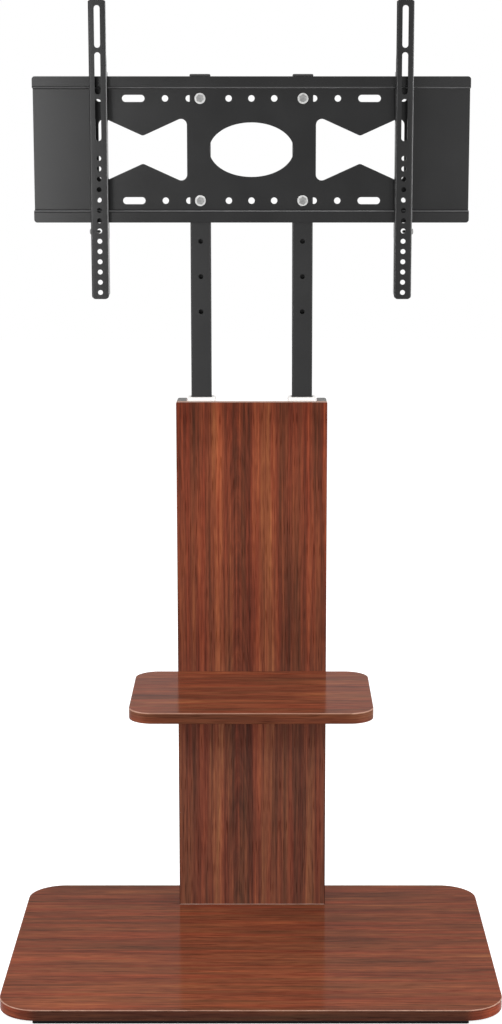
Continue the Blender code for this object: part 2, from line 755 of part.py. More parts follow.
def build_posts(mast):
    """The two posts with their weld nuts, end caps and lower glides."""
    inner_width = POST_WIDTH - 2 * POST_WALL
    inner_depth = POST_DEPTH - 2 * POST_WALL
    front = -POST_DEPTH / 2
    spare = [
        PLATE_Z - SPARE_HOLE_DROP - i * SPARE_HOLE_PITCH - POST_Z for i in range(SPARE_HOLE_COUNT)
    ]
    bolted = [PLATE_MIDDLE + side * ROW_SPACING / 2 - POST_Z for side in (-1, 1)]
    holes = [(height, SPARE_HOLE_RADIUS) for height in spare]
    holes += [(height, BOLT_RADIUS + HOLE_PLAY) for height in bolted]

    def tube(mesh):
        outer = rectangle(POST_WIDTH, POST_DEPTH, POST_CORNER, steps=3)
        inner = rectangle(inner_width, inner_depth, POST_CORNER - POST_WALL, steps=3)
        sweep(mesh, [(0.0, outer), (POST_LENGTH, outer), (POST_LENGTH, inner), (0.0, inner)], closed=True)

    def nuts(mesh):
        for height, radius in holes:
            ring = circle(radius + NUT_WALL, 12, (0, height))
            sweep(mesh, [(front + POST_WALL / 2, ring), (front + POST_WALL + NUT_DEPTH, ring)], "Y")

    def threads(mesh):
        for height, radius in holes:
            ring = circle(radius, 12, (0, height))
            sweep(mesh, [(front - SHEET_PAST, ring), (front + NUT_DEPTH, ring)], "Y")

    def plug_ring(margin):
        return rectangle(inner_width - 2 * margin, inner_depth - 2 * margin, 0.001, steps=2)

    def cap(mesh):
        full = rectangle(POST_WIDTH, POST_DEPTH, POST_CORNER, steps=2)
        eased = rectangle(POST_WIDTH - 2 * CAP_EASE, POST_DEPTH - 2 * CAP_EASE, POST_CORNER, steps=2)
        sweep(mesh, [
            (-CAP_PLUG, plug_ring(PLUG_TAPER)),
            (0.0, plug_ring(GAP)),
            (0.0, full),
            (CAP_HEIGHT * 0.5, full),
            (CAP_HEIGHT, eased),
        ])

    def glide(mesh):
        run = rectangle(POST_WIDTH + 2 * (SLEEVE_ROOM - GAP), POST_DEPTH + 2 * (SLEEVE_ROOM - GAP),
                        TUBE_CORNER - TUBE_WALL, steps=2)
        sweep(mesh, [
            (-GLIDE_HEIGHT, run),
            (0.0, run),
            (0.0, plug_ring(GAP)),
            (CAP_PLUG, plug_ring(PLUG_TAPER)),
        ])

    for side, x in (("left", -1), ("right", 1)):
        across = x * POST_PLACE
        made = piece(f"{side}_post", tube, "black_steel", mast, (across, POST_Y, POST_Z))
        shape(made, f"{side} weld nuts", nuts, "UNION")
        shape(made, f"{side} threads", threads, "DIFFERENCE")
        piece(f"{side}_post_cap", cap, "black_plastic", mast, (across, POST_Y, POST_TOP + GAP))
        piece(f"{side}_post_glide", glide, "black_plastic", mast, (across, POST_Y, POST_Z - GAP))


# Bracket plate

def bow_tie(side):
    """The cut-out with two wide ends and a narrow neck, on one side of the plate."""
    x = side * (POST_PLACE + BOW_PAST_POST)
    half, tall, neck = BOW_WIDTH / 2, BOW_HEIGHT / 2, BOW_NECK / 2
    return outline([
        (x - half, -tall, BOW_CORNER),
        (x, -neck, BOW_NECK_ROUND),
        (x + half, -tall, BOW_CORNER),
        (x + half, tall, BOW_CORNER),
        (x, neck, BOW_NECK_ROUND),
        (x - half, tall, BOW_CORNER),
    ], 4)


def build_plate(mast):
    """The folded plate, drawn about its middle with the web's front at zero depth."""
    half = PLATE_HEIGHT / 2
    top_fold = half - TOP_LIP
    bottom_fold = -half + BOTTOM_LIP
    inside, outside = PLATE_FOLD, PLATE_FOLD + PLATE_SHEET

    # Depth and height of the folded section, round the lower lip, web and upper lip
    section = outline([
        (-LIP_STEP, -half, 0.0),
        (-LIP_STEP + PLATE_SHEET, -half, 0.0),
        (-LIP_STEP + PLATE_SHEET, bottom_fold - PLATE_SHEET, inside),
        (PLATE_SHEET, bottom_fold - PLATE_SHEET, outside),
        (PLATE_SHEET, top_fold + PLATE_SHEET, outside),
        (-LIP_STEP + PLATE_SHEET, top_fold + PLATE_SHEET, inside),
        (-LIP_STEP + PLATE_SHEET, half, 0.0),
        (-LIP_STEP, half, 0.0),
        (-LIP_STEP, top_fold, outside),
        (0.0, top_fold, inside),
        (0.0, bottom_fold, inside),
        (-LIP_STEP, bottom_fold, outside),
    ], 3)

    def folded(mesh):
        sweep(mesh, [(-PLATE_WIDTH / 2, section), (PLATE_WIDTH / 2, section)], "X")

    def silhouette(mesh):
        plan = rectangle(PLATE_WIDTH, PLATE_HEIGHT + 2 * GAP, LIP_CORNER, steps=4)
        sweep(mesh, [(-LIP_STEP - CUT_PAST, plan), (PLATE_SHEET + CUT_PAST, plan)], "Y")

    def cut_outs(mesh):
        shapes = [oval(OVAL_WIDTH, OVAL_HEIGHT), bow_tie(-1), bow_tie(1)]
        places = [*MIDDLE_HOLES, POST_PLACE, *(POST_PLACE + step for step in HOLES_PAST_POST)]
        places = sorted({side * place for place in places for side in (-1, 1)})
        slot_place = POST_PLACE + PLATE_SLOT_PAST_POST
        for row in (-ROW_SPACING / 2, ROW_SPACING / 2):
            shapes += [circle(HOLE_RADIUS, centre=(x, row)) for x in places]
            for side in (-1, 1):
                slot = rectangle(PLATE_SLOT_LENGTH, PLATE_SLOT_WIDTH, PLATE_SLOT_WIDTH / 2 - SLOT_END_EASE,
                                 (side * slot_place, row), 5)
                shapes.append(slot)
        for points in shapes:
            sweep(mesh, [(-SHEET_PAST, points), (PLATE_SHEET + SHEET_PAST, points)], "Y")

    plate = piece("bracket_plate", folded, "black_steel", mast, (0, WEB_FRONT, PLATE_MIDDLE))
    shape(plate, "plate silhouette", silhouette, "INTERSECT")
    shape(plate, "plate cut-outs", cut_outs, "DIFFERENCE")

    def washer(mesh):
        outer, inner = circle(WASHER_RADIUS, 18), circle(BOLT_RADIUS + HOLE_PLAY, 18)
        sweep(mesh, [
            (0.0, outer), (WASHER_THICKNESS, outer), (WASHER_THICKNESS, inner), (0.0, inner),
        ], closed=True)

    stack = WASHER_THICKNESS + 2 * GAP
    bolt = hex_bolt(BOLT_RADIUS, BOLT_FLATS, BOLT_HEAD, stack + PLATE_SHEET + GAP + BOLT_REACH, 3)
    for level, up in (("lower", -1), ("upper", 1)):
        for side, x in (("left", -1), ("right", 1)):
            across, height = x * POST_PLACE, PLATE_MIDDLE + up * ROW_SPACING / 2
            made = piece(f"{level}_{side}_plate_bolt", bolt, "zinc", mast,
                         (across, WEB_FRONT - stack, height))
            turned_to(made, (0, -1, 0))
            made = piece(f"{level}_{side}_plate_washer", washer, "zinc", mast,
                         (across, WEB_FRONT - GAP, height))
            turned_to(made, (0, -1, 0))


# Arms

def build_arm(side, carriage, x):
    """One arm, drawn from its front face and top end: depth is +Y, height is down from zero."""
    safety_z = PLATE_Z - SAFETY_DROP - ARM_TOP
    lip_top = PLATE_TOP - ARM_TOP
    notch = LIP_BACK + GAP - ARM_FRONT
    finger = notch + HOOK_THICKNESS
    tab_top = PLATE_Z - TAB_ROOM - ARM_TOP
    tab_back = LIP_BACK + TAB_REACH - ARM_FRONT

    def channel(mesh):
        half, back, sheet = ARM_WIDTH / 2, finger + CUT_PAST, ARM_SHEET
        inside, outside = ARM_FOLD, ARM_FOLD + ARM_SHEET
        section = outline([
            (-half, back, 0.0),
            (-half, 0.0, outside),
            (half, 0.0, outside),
            (half, back, 0.0),
            (half - sheet, back, 0.0),
            (half - sheet, sheet, inside),
            (-half + sheet, sheet, inside),
            (-half + sheet, back, 0.0),
        ], 3)
        sweep(mesh, [(-ARM_LENGTH, section), (0.0, section)])

    # Depth and height of the flanges: shoulder, hook over the top lip, back edge and lower tab
    def side_profile(mesh):
        shoulder = lip_top + ARM_SHOULDER
        hook_top = lip_top + GAP + HOOK_RISE
        flange_start = ARM_SHEET + FLANGE_START
        corners = [
            (-CUT_PAST, CUT_PAST, 0.0),
            (flange_start, CUT_PAST, 0.0),
            (flange_start, shoulder, 0.0),
            (ARM_SHOULDER_DEPTH, shoulder - ARM_SHOULDER_DEPTH, FLANGE_CORNER),
            (ARM_SHOULDER_DEPTH, hook_top, FLANGE_CORNER),
            (finger, hook_top, FLANGE_CORNER),
            (finger, lip_top - HOOK_DROP, HOOK_CORNER),
            (notch, lip_top - HOOK_DROP, HOOK_CORNER),
            (notch, lip_top + GAP, 0.0),
            (ARM_DEPTH, lip_top + GAP, 0.0),
            (ARM_DEPTH, tab_top, 0.0),
            (tab_back, tab_top, HOOK_CORNER),
            (tab_back, tab_top - TAB_HEIGHT, FLANGE_CORNER),
            (ARM_DEPTH, tab_top - TAB_HEIGHT, FLANGE_CORNER),
            (ARM_DEPTH, -ARM_LENGTH - CUT_PAST, 0.0),
            (-CUT_PAST, -ARM_LENGTH - CUT_PAST, 0.0),
        ]
        profile = outline(corners, 3)
        sweep(mesh, [(-ARM_WIDTH, profile), (ARM_WIDTH, profile)], "X")

    def silhouette(mesh):
        plan = rectangle(ARM_WIDTH + 2 * GAP, ARM_LENGTH, ARM_CORNER, (0, -ARM_LENGTH / 2), 4)
        sweep(mesh, [(-CUT_PAST, plan), (finger + CUT_PAST, plan)], "Y")

    def front_holes(mesh):
        for i in range(ARM_SLOT_COUNT):
            middle = -ARM_SLOT_TOP - ARM_SLOT_LENGTH / 2 - i * ARM_SLOT_PITCH
            slot = rectangle(ARM_SLOT_WIDTH, ARM_SLOT_LENGTH, ARM_SLOT_WIDTH / 2 - SLOT_END_EASE,
                             (0, middle), 5)
            sweep(mesh, [(-SHEET_PAST, slot), (ARM_SHEET + SHEET_PAST, slot)], "Y")
        for i in range(ARM_HOLE_COUNT):
            height = -ARM_LENGTH + ARM_HOLE_BOTTOM + i * ARM_HOLE_PITCH
            hole = circle(ARM_HOLE_RADIUS, 12, (0, height))
            sweep(mesh, [(-SHEET_PAST, hole), (ARM_SHEET + SHEET_PAST, hole)], "Y")

    safety_y = (LIP_FRONT + LIP_BACK) / 2 - ARM_FRONT
    outer_face = x * ARM_WIDTH / 2
    inner_face = x * (ARM_WIDTH / 2 - ARM_SHEET)

    def safety_hole(mesh):
        hole = circle(SAFETY_RADIUS + HOLE_PLAY, 12, (safety_y, safety_z))
        ends = sorted((outer_face + x * SHEET_PAST, inner_face - x * SHEET_PAST))
        sweep(mesh, [(ends[0], hole), (ends[1], hole)], "X")

    at = Vector((x * ARM_SPACING / 2, ARM_FRONT, ARM_TOP))
    arm = piece(f"{side}_arm", channel, "black_steel", carriage, at)
    shape(arm, f"{side} arm flanges", side_profile, "INTERSECT")
    shape(arm, f"{side} arm silhouette", silhouette, "INTERSECT")
    shape(arm, f"{side} arm holes", front_holes, "DIFFERENCE")
    shape(arm, f"{side} arm safety hole", safety_hole, "DIFFERENCE")

    def nut(mesh):
        outer, inner = hexagon(SAFETY_FLATS), circle(SAFETY_RADIUS + HOLE_PLAY, 12)
        sweep(mesh, [(0.0, outer), (SAFETY_NUT, outer), (SAFETY_NUT, inner), (0.0, inner)], closed=True)

    screw = headed_screw(SAFETY_RADIUS, SAFETY_HEAD_RADIUS, SAFETY_HEAD, ARM_WIDTH / 2 + GAP)
    made = piece(f"{side}_safety_screw", screw, "zinc", carriage,
                 at + Vector((outer_face + x * GAP, safety_y, safety_z)))
    turned_to(made, (x, 0, 0))
    made = piece(f"{side}_safety_nut", nut, "zinc", carriage,
                 at + Vector((inner_face - x * GAP, safety_y, safety_z)))
    turned_to(made, (-x, 0, 0))


def build_stand():
    """Every assembly, each under the empty that carries it."""
    for old in list(bpy.data.objects):
        bpy.data.objects.remove(old)
    stand = pivot("stand_frame", (0, 0, 0))
    build_base(stand)
    build_column(stand)
    build_socket(stand)
    build_collars(stand)
    build_shelf(stand)
    mast = pivot("mast_frame", (0, POST_Y, POST_Z), stand)
    build_posts(mast)
    build_plate(mast)
    for side, x in (("left", -1), ("right", 1)):
        knob_at = (x * POST_PLACE, TUBE_BACK, TUBE_Z + TUBE_LENGTH - KNOB_DROP)
        build_knob(side, pivot(f"{side}_knob_axis", knob_at), x)
        arm_at = (x * ARM_SPACING / 2, LIP_FRONT, PLATE_TOP)
        build_arm(side, pivot(f"{side}_arm_carriage", arm_at), x)


build_stand()
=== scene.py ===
# %% [markdown]
# # A walnut and steel floor stand for a television
#
# The real stand has a wide laminated board on a thin steel plate, a boxed column with one small
# shelf, and two steel posts that slide up out of the column. A folded bracket plate is bolted to
# the posts, and two arms hook over its top lip to carry the screen.
#
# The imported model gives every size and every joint. This lesson dresses it: each piece is made
# again with finer edges, and gets a finish built from noise and ramps instead of pictures.

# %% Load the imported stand
import math

import bmesh
import bpy
from mathutils import Matrix, Vector
from mathutils.geometry import delaunay_2d_cdt


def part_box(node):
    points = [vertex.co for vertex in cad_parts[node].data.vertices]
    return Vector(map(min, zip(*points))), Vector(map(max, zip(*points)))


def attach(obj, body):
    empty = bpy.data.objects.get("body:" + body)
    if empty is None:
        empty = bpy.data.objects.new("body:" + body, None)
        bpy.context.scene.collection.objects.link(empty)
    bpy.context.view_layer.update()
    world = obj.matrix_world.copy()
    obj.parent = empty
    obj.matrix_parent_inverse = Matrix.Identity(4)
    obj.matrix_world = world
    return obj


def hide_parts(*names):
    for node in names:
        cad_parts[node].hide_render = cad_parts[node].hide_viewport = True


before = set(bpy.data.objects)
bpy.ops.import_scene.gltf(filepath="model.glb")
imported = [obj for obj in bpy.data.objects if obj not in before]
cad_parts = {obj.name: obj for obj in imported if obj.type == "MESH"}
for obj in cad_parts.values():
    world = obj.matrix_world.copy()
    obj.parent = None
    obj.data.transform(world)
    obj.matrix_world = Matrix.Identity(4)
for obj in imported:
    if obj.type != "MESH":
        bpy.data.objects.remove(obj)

scene = bpy.context.scene
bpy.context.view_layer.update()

# %% [markdown]
# ## The camera
#
# A product camera stands a few metres back, a little above the column, and looks slightly down.
# The lens, the tilt and the place were worked out from the stand's own straight edges, so the
# camera is set by numbers and needs no aiming. The small shift is the crop of the picture.

# %% Place the camera
lens = bpy.data.cameras.new("long lens")
lens.sensor_width = 36.0
lens.lens = 77.66
lens.shift_x, lens.shift_y = -0.01348, 0.0215
lens.clip_start, lens.clip_end = 0.1, 60.0
camera = bpy.data.objects.new("camera", lens)
camera.location = (0.01948, -3.1002, 1.2311)
camera.rotation_euler = (math.radians(90 - 10.816), 0.0, 0.0)
scene.collection.objects.link(camera)
scene.camera = camera
print("camera at", tuple(round(v, 3) for v in camera.location), "lens", lens.lens)

# %% [markdown]
# ## Joining shader nodes
#
# A finish is a small network of nodes. Placing each node by hand takes many lines, so one helper
# adds a node, sets its options and fills its inputs: an input is joined if it is given another
# node's output, and typed in if it is given a number.

# %% Add and join a node
def wire(tree, kind, inputs=None, **options):
    """Adds one node, sets its options and fills its inputs."""
    node = tree.nodes.new(kind)
    for name, value in options.items():
        setattr(node, name, value)
    for key, value in (inputs or {}).items():
        if isinstance(value, bpy.types.NodeSocket):
            tree.links.new(value, node.inputs[key])
        else:
            node.inputs[key].default_value = value
    return node


def finish(name):
    """A new finish, its node tree and its shader."""
    look = bpy.data.materials.new(name)
    look.use_nodes = True
    return look, look.node_tree, look.node_tree.nodes["Principled BSDF"]


print("helper for nodes ready")

# %% [markdown]
# Four more helpers cover most of what a finish is made of. A ramp turns a number into a colour. A
# sum joins numbers. Noise is a soft cloud: stretched along one axis, it turns into wood grain or
# brush marks. A product tints one colour with another.

# %% Ramps, sums, noise and products
def ramp(tree, value, stops, smooth=False):
    """Turns a number into a colour through (position, colour) stops."""
    node = wire(tree, "ShaderNodeValToRGB", {0: value})
    node.color_ramp.interpolation = "EASE" if smooth else "LINEAR"
    while len(node.color_ramp.elements) < len(stops):
        node.color_ramp.elements.new(0.5)
    for element, (position, colour) in zip(node.color_ramp.elements, stops):
        element.position = position
        element.color = (*colour, 1.0)
    return node.outputs["Color"]


def number(tree, operation, first, second=0.0, third=0.0):
    """One sum: ADD, MULTIPLY, MULTIPLY_ADD, PINGPONG and so on."""
    inputs = {0: first, 1: second, 2: third}
    return wire(tree, "ShaderNodeMath", inputs, operation=operation).outputs[0]


def noise(tree, place, stretch, seed, detail=2.0, rough=0.5):
    """Noise with its own stretch on each axis; the seed moves it elsewhere in the pattern."""
    laid = wire(tree, "ShaderNodeMapping", {
        "Vector": place, "Location": (seed, 1.7 * seed, 2.3 * seed), "Scale": stretch})
    node = wire(tree, "ShaderNodeTexNoise", {
        "Vector": laid.outputs[0], "Scale": 1.0, "Detail": detail, "Roughness": rough})
    return node.outputs["Fac"]


def product(tree, first, second):
    """Two colours multiplied."""
    mix = wire(tree, "ShaderNodeMix", {0: 1.0, 6: first, 7: second},
               data_type="RGBA", blend_type="MULTIPLY")
    return mix.outputs[2]


def spread(tree, value, low, high):
    """A number from 0 to 1, spread between two others."""
    inputs = {"Value": value, "To Min": low, "To Max": high}
    return wire(tree, "ShaderNodeMapRange", inputs).outputs[0]


def grey(level):
    """A neutral colour."""
    return (level, level, level)


print("helpers for ramps, sums, noise and products ready")

# %% [markdown]
# ## Floor and room
#
# The picture was taken on a white sweep. A curved backdrop could hang behind the stand, but a flat
# floor in a white room gives the same picture with four corners. The floor is matt and nearly
# white, and it gives the camera a little extra glow, so that it reads as paper white where nothing
# shades it, while the soft shadow under the base stays. The room is white to the camera and in
# reflections, and lights the stand at a lower, even level.

# %% Make the floor and the room
FLOOR_HALF = 9.0
FLOOR_GREY = 0.58
FLOOR_GLOW = 0.84
ROOM_LIGHT = 0.36

floor_mesh = bpy.data.meshes.new("floor")
floor_mesh.from_pydata([(x * FLOOR_HALF, y * FLOOR_HALF, 0)
                        for x, y in ((-1, -1), (1, -1), (1, 1), (-1, 1))], [], [(0, 1, 2, 3)])
floor = bpy.data.objects.new("floor", floor_mesh)
scene.collection.objects.link(floor)


def seen_directly(tree):
    """One for camera, mirror and glass rays, zero for the light that falls on things."""
    path = wire(tree, "ShaderNodeLightPath")
    seen = number(tree, "MAXIMUM", path.outputs["Is Camera Ray"], path.outputs["Is Glossy Ray"])
    return number(tree, "MAXIMUM", seen, path.outputs["Is Transmission Ray"])


paper = bpy.data.materials.new("white paper floor")
paper.use_nodes = True
tree = paper.node_tree
tree.nodes.clear()
matt = wire(tree, "ShaderNodeBsdfDiffuse", {"Color": (*grey(FLOOR_GREY), 1.0)})
glow = wire(tree, "ShaderNodeEmission", {
    "Color": (1.0, 1.0, 1.0, 1.0),
    "Strength": number(tree, "MULTIPLY", seen_directly(tree), FLOOR_GLOW)})
both = wire(tree, "ShaderNodeAddShader", {0: matt.outputs[0], 1: glow.outputs[0]})
wire(tree, "ShaderNodeOutputMaterial", {"Surface": both.outputs[0]})
floor_mesh.materials.append(paper)

room = bpy.data.worlds.new("white room")
room.use_nodes = True
scene.world = room
tree = room.node_tree
tree.nodes.clear()
level = number(tree, "MULTIPLY_ADD", seen_directly(tree), 1.0 - ROOM_LIGHT, ROOM_LIGHT)
sky = wire(tree, "ShaderNodeBackground", {"Color": (1.0, 1.0, 1.0, 1.0), "Strength": level})
wire(tree, "ShaderNodeOutputWorld", {"Surface": sky.outputs[0]})
scene.view_settings.view_transform = "Standard"
print("floor", 2 * FLOOR_HALF, "m wide, room light", ROOM_LIGHT)

# %% [markdown]
# ## The lamps
#
# One sun lamp could light the stand, but its shadows would be hard. Softboxes are large lamps, so
# their shadows have wide, soft edges as in the picture. The one at the front left is stronger than
# the one at the front right: the left end of the bracket plate mirrors it a little, and turns a
# lighter grey than the right end. Two low ones light the boards from the sides. A tall narrow one
# at the right draws thin bright lines down the arms' folded edges. Two hang overhead, and one
# behind keeps the back of the stand readable.

# %% Hang the softboxes
LAMPS = (
    # name, place, point that it faces, width, height, power in watts
    ("front left", (-1.11, -3.0, 1.12), (-0.25, 0.15, 1.10), 0.9, 1.1, 25.0),
    ("low left", (-1.9, -2.3, 1.0), (0.0, 0.10, 0.40), 0.7, 0.36, 20.0),
    ("low right", (1.9, -2.3, 1.0), (0.0, 0.10, 0.40), 0.7, 0.36, 14.0),
    ("front right", (1.15, -3.0, 1.15), (0.1, 0.15, 1.10), 0.9, 1.1, 6.5),
    ("right strip", (2.3, -0.7, 1.2), (0.0, 0.15, 0.9), 0.35, 2.2, 23.0),
    ("top left", (-1.9, -0.5, 3.4), (0.0, -0.1, 0.2), 1.8, 1.4, 63.0),
    ("top right", (1.9, -0.5, 3.4), (0.0, -0.1, 0.2), 1.8, 1.4, 41.0),
    ("back", (0.3, 3.0, 3.2), (0.0, 0.2, 0.8), 2.0, 1.6, 22.0),
)
for name, place, faced, width, height, watts in LAMPS:
    lamp = bpy.data.lights.new(f"{name} softbox", "AREA")
    lamp.shape = "RECTANGLE"
    lamp.size, lamp.size_y = width, height
    lamp.energy = watts
    softbox = bpy.data.objects.new(f"{name} softbox", lamp)
    softbox.location = place
    softbox.rotation_euler = (Vector(faced) - Vector(place)).to_track_quat("-Z", "Y").to_euler()
    scene.collection.objects.link(softbox)
print("softboxes:", len(LAMPS))

# %% [markdown]
# ## Walnut laminate: the layers of the print
#
# The boards are not solid timber: a printed walnut pattern is pressed on them, with a satin coat. A
# photograph of wood could be wrapped round them, but it would repeat and go soft close up. Noise
# never repeats. A printed grain is long along the board and short across it, so each noise is
# stretched many times as much one way. Five are added up: wide bands, narrower belts, streaks, fine
# lines and short flecks. Growth rings are thin dark lines where a slow wave turns back.

# %% Draw the layers
MEAN_TONE = 1.18


def print_layers(tree, led, seed, run, belts):
    """The tone of the print around zero, and its fine lines by themselves."""
    layers = {
        # rate along and across the grain, step of the seed, detail, roughness, share
        "bands": (0.5 * run, 24.0, 3, 2.0, 0.50, 0.36),
        "belts": (1.2 * run, 58.0, 37, 1.0, 0.50, belts),
        "streaks": (run, 140.0, 7, 3.0, 0.62, 0.75),
        "lines": (1.6 * run, 290.0, 11, 1.0, 0.60, 0.78),
        "flecks": (42.0, 240.0, 47, 1.0, 0.50, 0.28),
    }
    tone, drawn = -MEAN_TONE - belts / 2, {}
    for name, (along, across, step, detail, rough, share) in layers.items():
        drawn[name] = noise(tree, led, (along, across, 1.0), seed + step, detail, rough)
        tone = number(tree, "MULTIPLY_ADD", drawn[name], share, tone)
    return tone, drawn["lines"]


def growth_rings(tree, led, seed, run):
    """Zero in the thin dark lines between two years' growth, and one between them."""
    wave = noise(tree, led, (0.45 * run, 13.0, 1.0), seed + 13, 1.0)
    wave = number(tree, "PINGPONG", number(tree, "MULTIPLY", wave, 9.0), 1.0)
    return ramp(tree, wave, [(0.0, grey(0.0)), (0.28, grey(0.8)), (1.0, grey(1.0))])


print("five layers and the growth rings ready")

# %% [markdown]
# ## Walnut laminate: the column's front board
#
# The large front board shows more of the tree than the others. Its print has straight stripes, each
# with its own tone and place, and in the left half a strip of nested arches, as in a board that is
# sawn flat through the trunk. A wave texture could draw the arches, but too evenly, so here they
# are noise whose length is bowed by the square of the distance from one line. The print also drifts
# in colour from the foot of the board to its top, and turns darker towards the very top. Behind and
# just under the shelf it carries a painted shade, which stands in for the shelf's shadow.

# %% Draw the stripes and the arches
FRONT_HALF = 0.1125
FRONT_TALL = 0.785
COLUMN_STRIPES = (
    # share of the board's width from the left, tone
    (0.00, 0.60), (0.04, 0.54), (0.12, 0.47), (0.24, 0.56), (0.275, 0.74), (0.305, 0.70),
    (0.315, 0.44), (0.42, 0.40), (0.505, 0.33), (0.515, 0.57), (0.59, 0.60), (0.61, 0.70),
    (0.65, 0.68), (0.67, 0.43), (0.75, 0.42), (0.78, 0.52), (0.81, 0.38), (0.865, 0.42),
    (0.88, 0.67), (0.905, 0.62), (0.92, 0.46), (1.00, 0.52),
)
# painted shade: the dip from 0.33 to 0.47 of the height darkens the board behind and just under the
# shelf, in place of its shadow
COLUMN_DRIFT_AND_SHADE = (
    # share of the board's height from the floor, factor of the colour
    (0.00, (1.00, 1.34, 1.50)), (0.12, (0.94, 1.20, 1.36)), (0.295, (0.94, 1.18, 1.32)),
    (0.330, (0.83, 1.06, 1.22)), (0.366, (0.68, 0.83, 0.95)), (0.47, (0.68, 0.83, 0.95)),
    (0.48, (0.91, 1.10, 1.21)), (0.58, (0.82, 0.88, 0.90)), (0.75, (0.92, 0.94, 0.92)),
    (0.93, (0.90, 0.90, 0.88)), (1.00, (0.72, 0.68, 0.66)),
)


def column_stripes(tree, grain, push, seed):
    """The straight stripes of the front board, which fade in and out along it."""
    sideways = wire(tree, "ShaderNodeSeparateXYZ", {0: grain}).outputs["Y"]
    across = wire(tree, "ShaderNodeMapRange", {
        "Value": number(tree, "MULTIPLY_ADD", push, 0.25, sideways),
        "From Min": -FRONT_HALF, "From Max": FRONT_HALF}).outputs[0]
    stripe = ramp(tree, across, [(share, grey(tone)) for share, tone in COLUMN_STRIPES])
    stripe = number(tree, "ADD", stripe, -0.5)
    cloud = noise(tree, grain, (4.5, 9.0, 1.0), seed + 41, 1.0)
    return number(tree, "MULTIPLY", stripe, number(tree, "MULTIPLY_ADD", cloud, 0.9, 0.40))


def arches(tree, grain, seed, middle=-0.020, half=0.026, steep=260.0):
    """Nested arches in a strip about one line: the grain's length is bowed by the square."""
    parts = wire(tree, "ShaderNodeSeparateXYZ", {0: grain})
    off = number(tree, "SUBTRACT", parts.outputs["Y"], middle)
    square = number(tree, "MULTIPLY", off, off)
    bow = number(tree, "MULTIPLY_ADD", square, steep, parts.outputs["X"])
    point = wire(tree, "ShaderNodeCombineXYZ", {"X": bow, "Y": off}).outputs[0]
    ripple = noise(tree, point, (34.0, 6.0, 1.0), seed, 3.0, 0.6)
    share = number(tree, "DIVIDE", number(tree, "ABSOLUTE", off), half)
    mask = ramp(tree, share, [(0.0, grey(1.0)), (0.55, grey(0.8)), (1.0, grey(0.0))], True)
    return number(tree, "MULTIPLY", number(tree, "MULTIPLY_ADD", ripple, 0.75, -0.38), mask)


def column_drift_and_shade(tree, grain):
    """The slow change of colour up the front board, with a painted shade under the shelf."""
    upward = wire(tree, "ShaderNodeSeparateXYZ", {0: grain}).outputs["X"]
    return ramp(tree, number(tree, "MULTIPLY", upward, 1.0 / FRONT_TALL), COLUMN_DRIFT_AND_SHADE)


print("front board:", len(COLUMN_STRIPES), "stripe stops,", len(COLUMN_DRIFT_AND_SHADE), "drift stops")

# %% [markdown]
# ## Walnut laminate: the finish
#
# A ramp turns the tone into walnut's browns and reds. Dark pores are dashed into it, and a slow hue
# keeps neighbouring streaks from being one colour. A slow noise first pushes the grain sideways,
# because grain wanders. Each board carries a map called "grain", in metres, with its first axis
# along the grain: with the object's own axes instead, the print would run the wrong way on upright
# boards. The coat is thin and clear, so its reflection is weak but nearly sharp. A low index of
# refraction gives that, without a second layer.

# %% The walnut finish
WALNUT_TONES = (
    (0.10, (0.072, 0.026, 0.017)),
    (0.32, (0.118, 0.035, 0.021)),
    (0.50, (0.176, 0.047, 0.026)),
    (0.66, (0.244, 0.064, 0.032)),
    (0.92, (0.380, 0.118, 0.050)),
)
CLEAR_COAT_IOR = 1.062


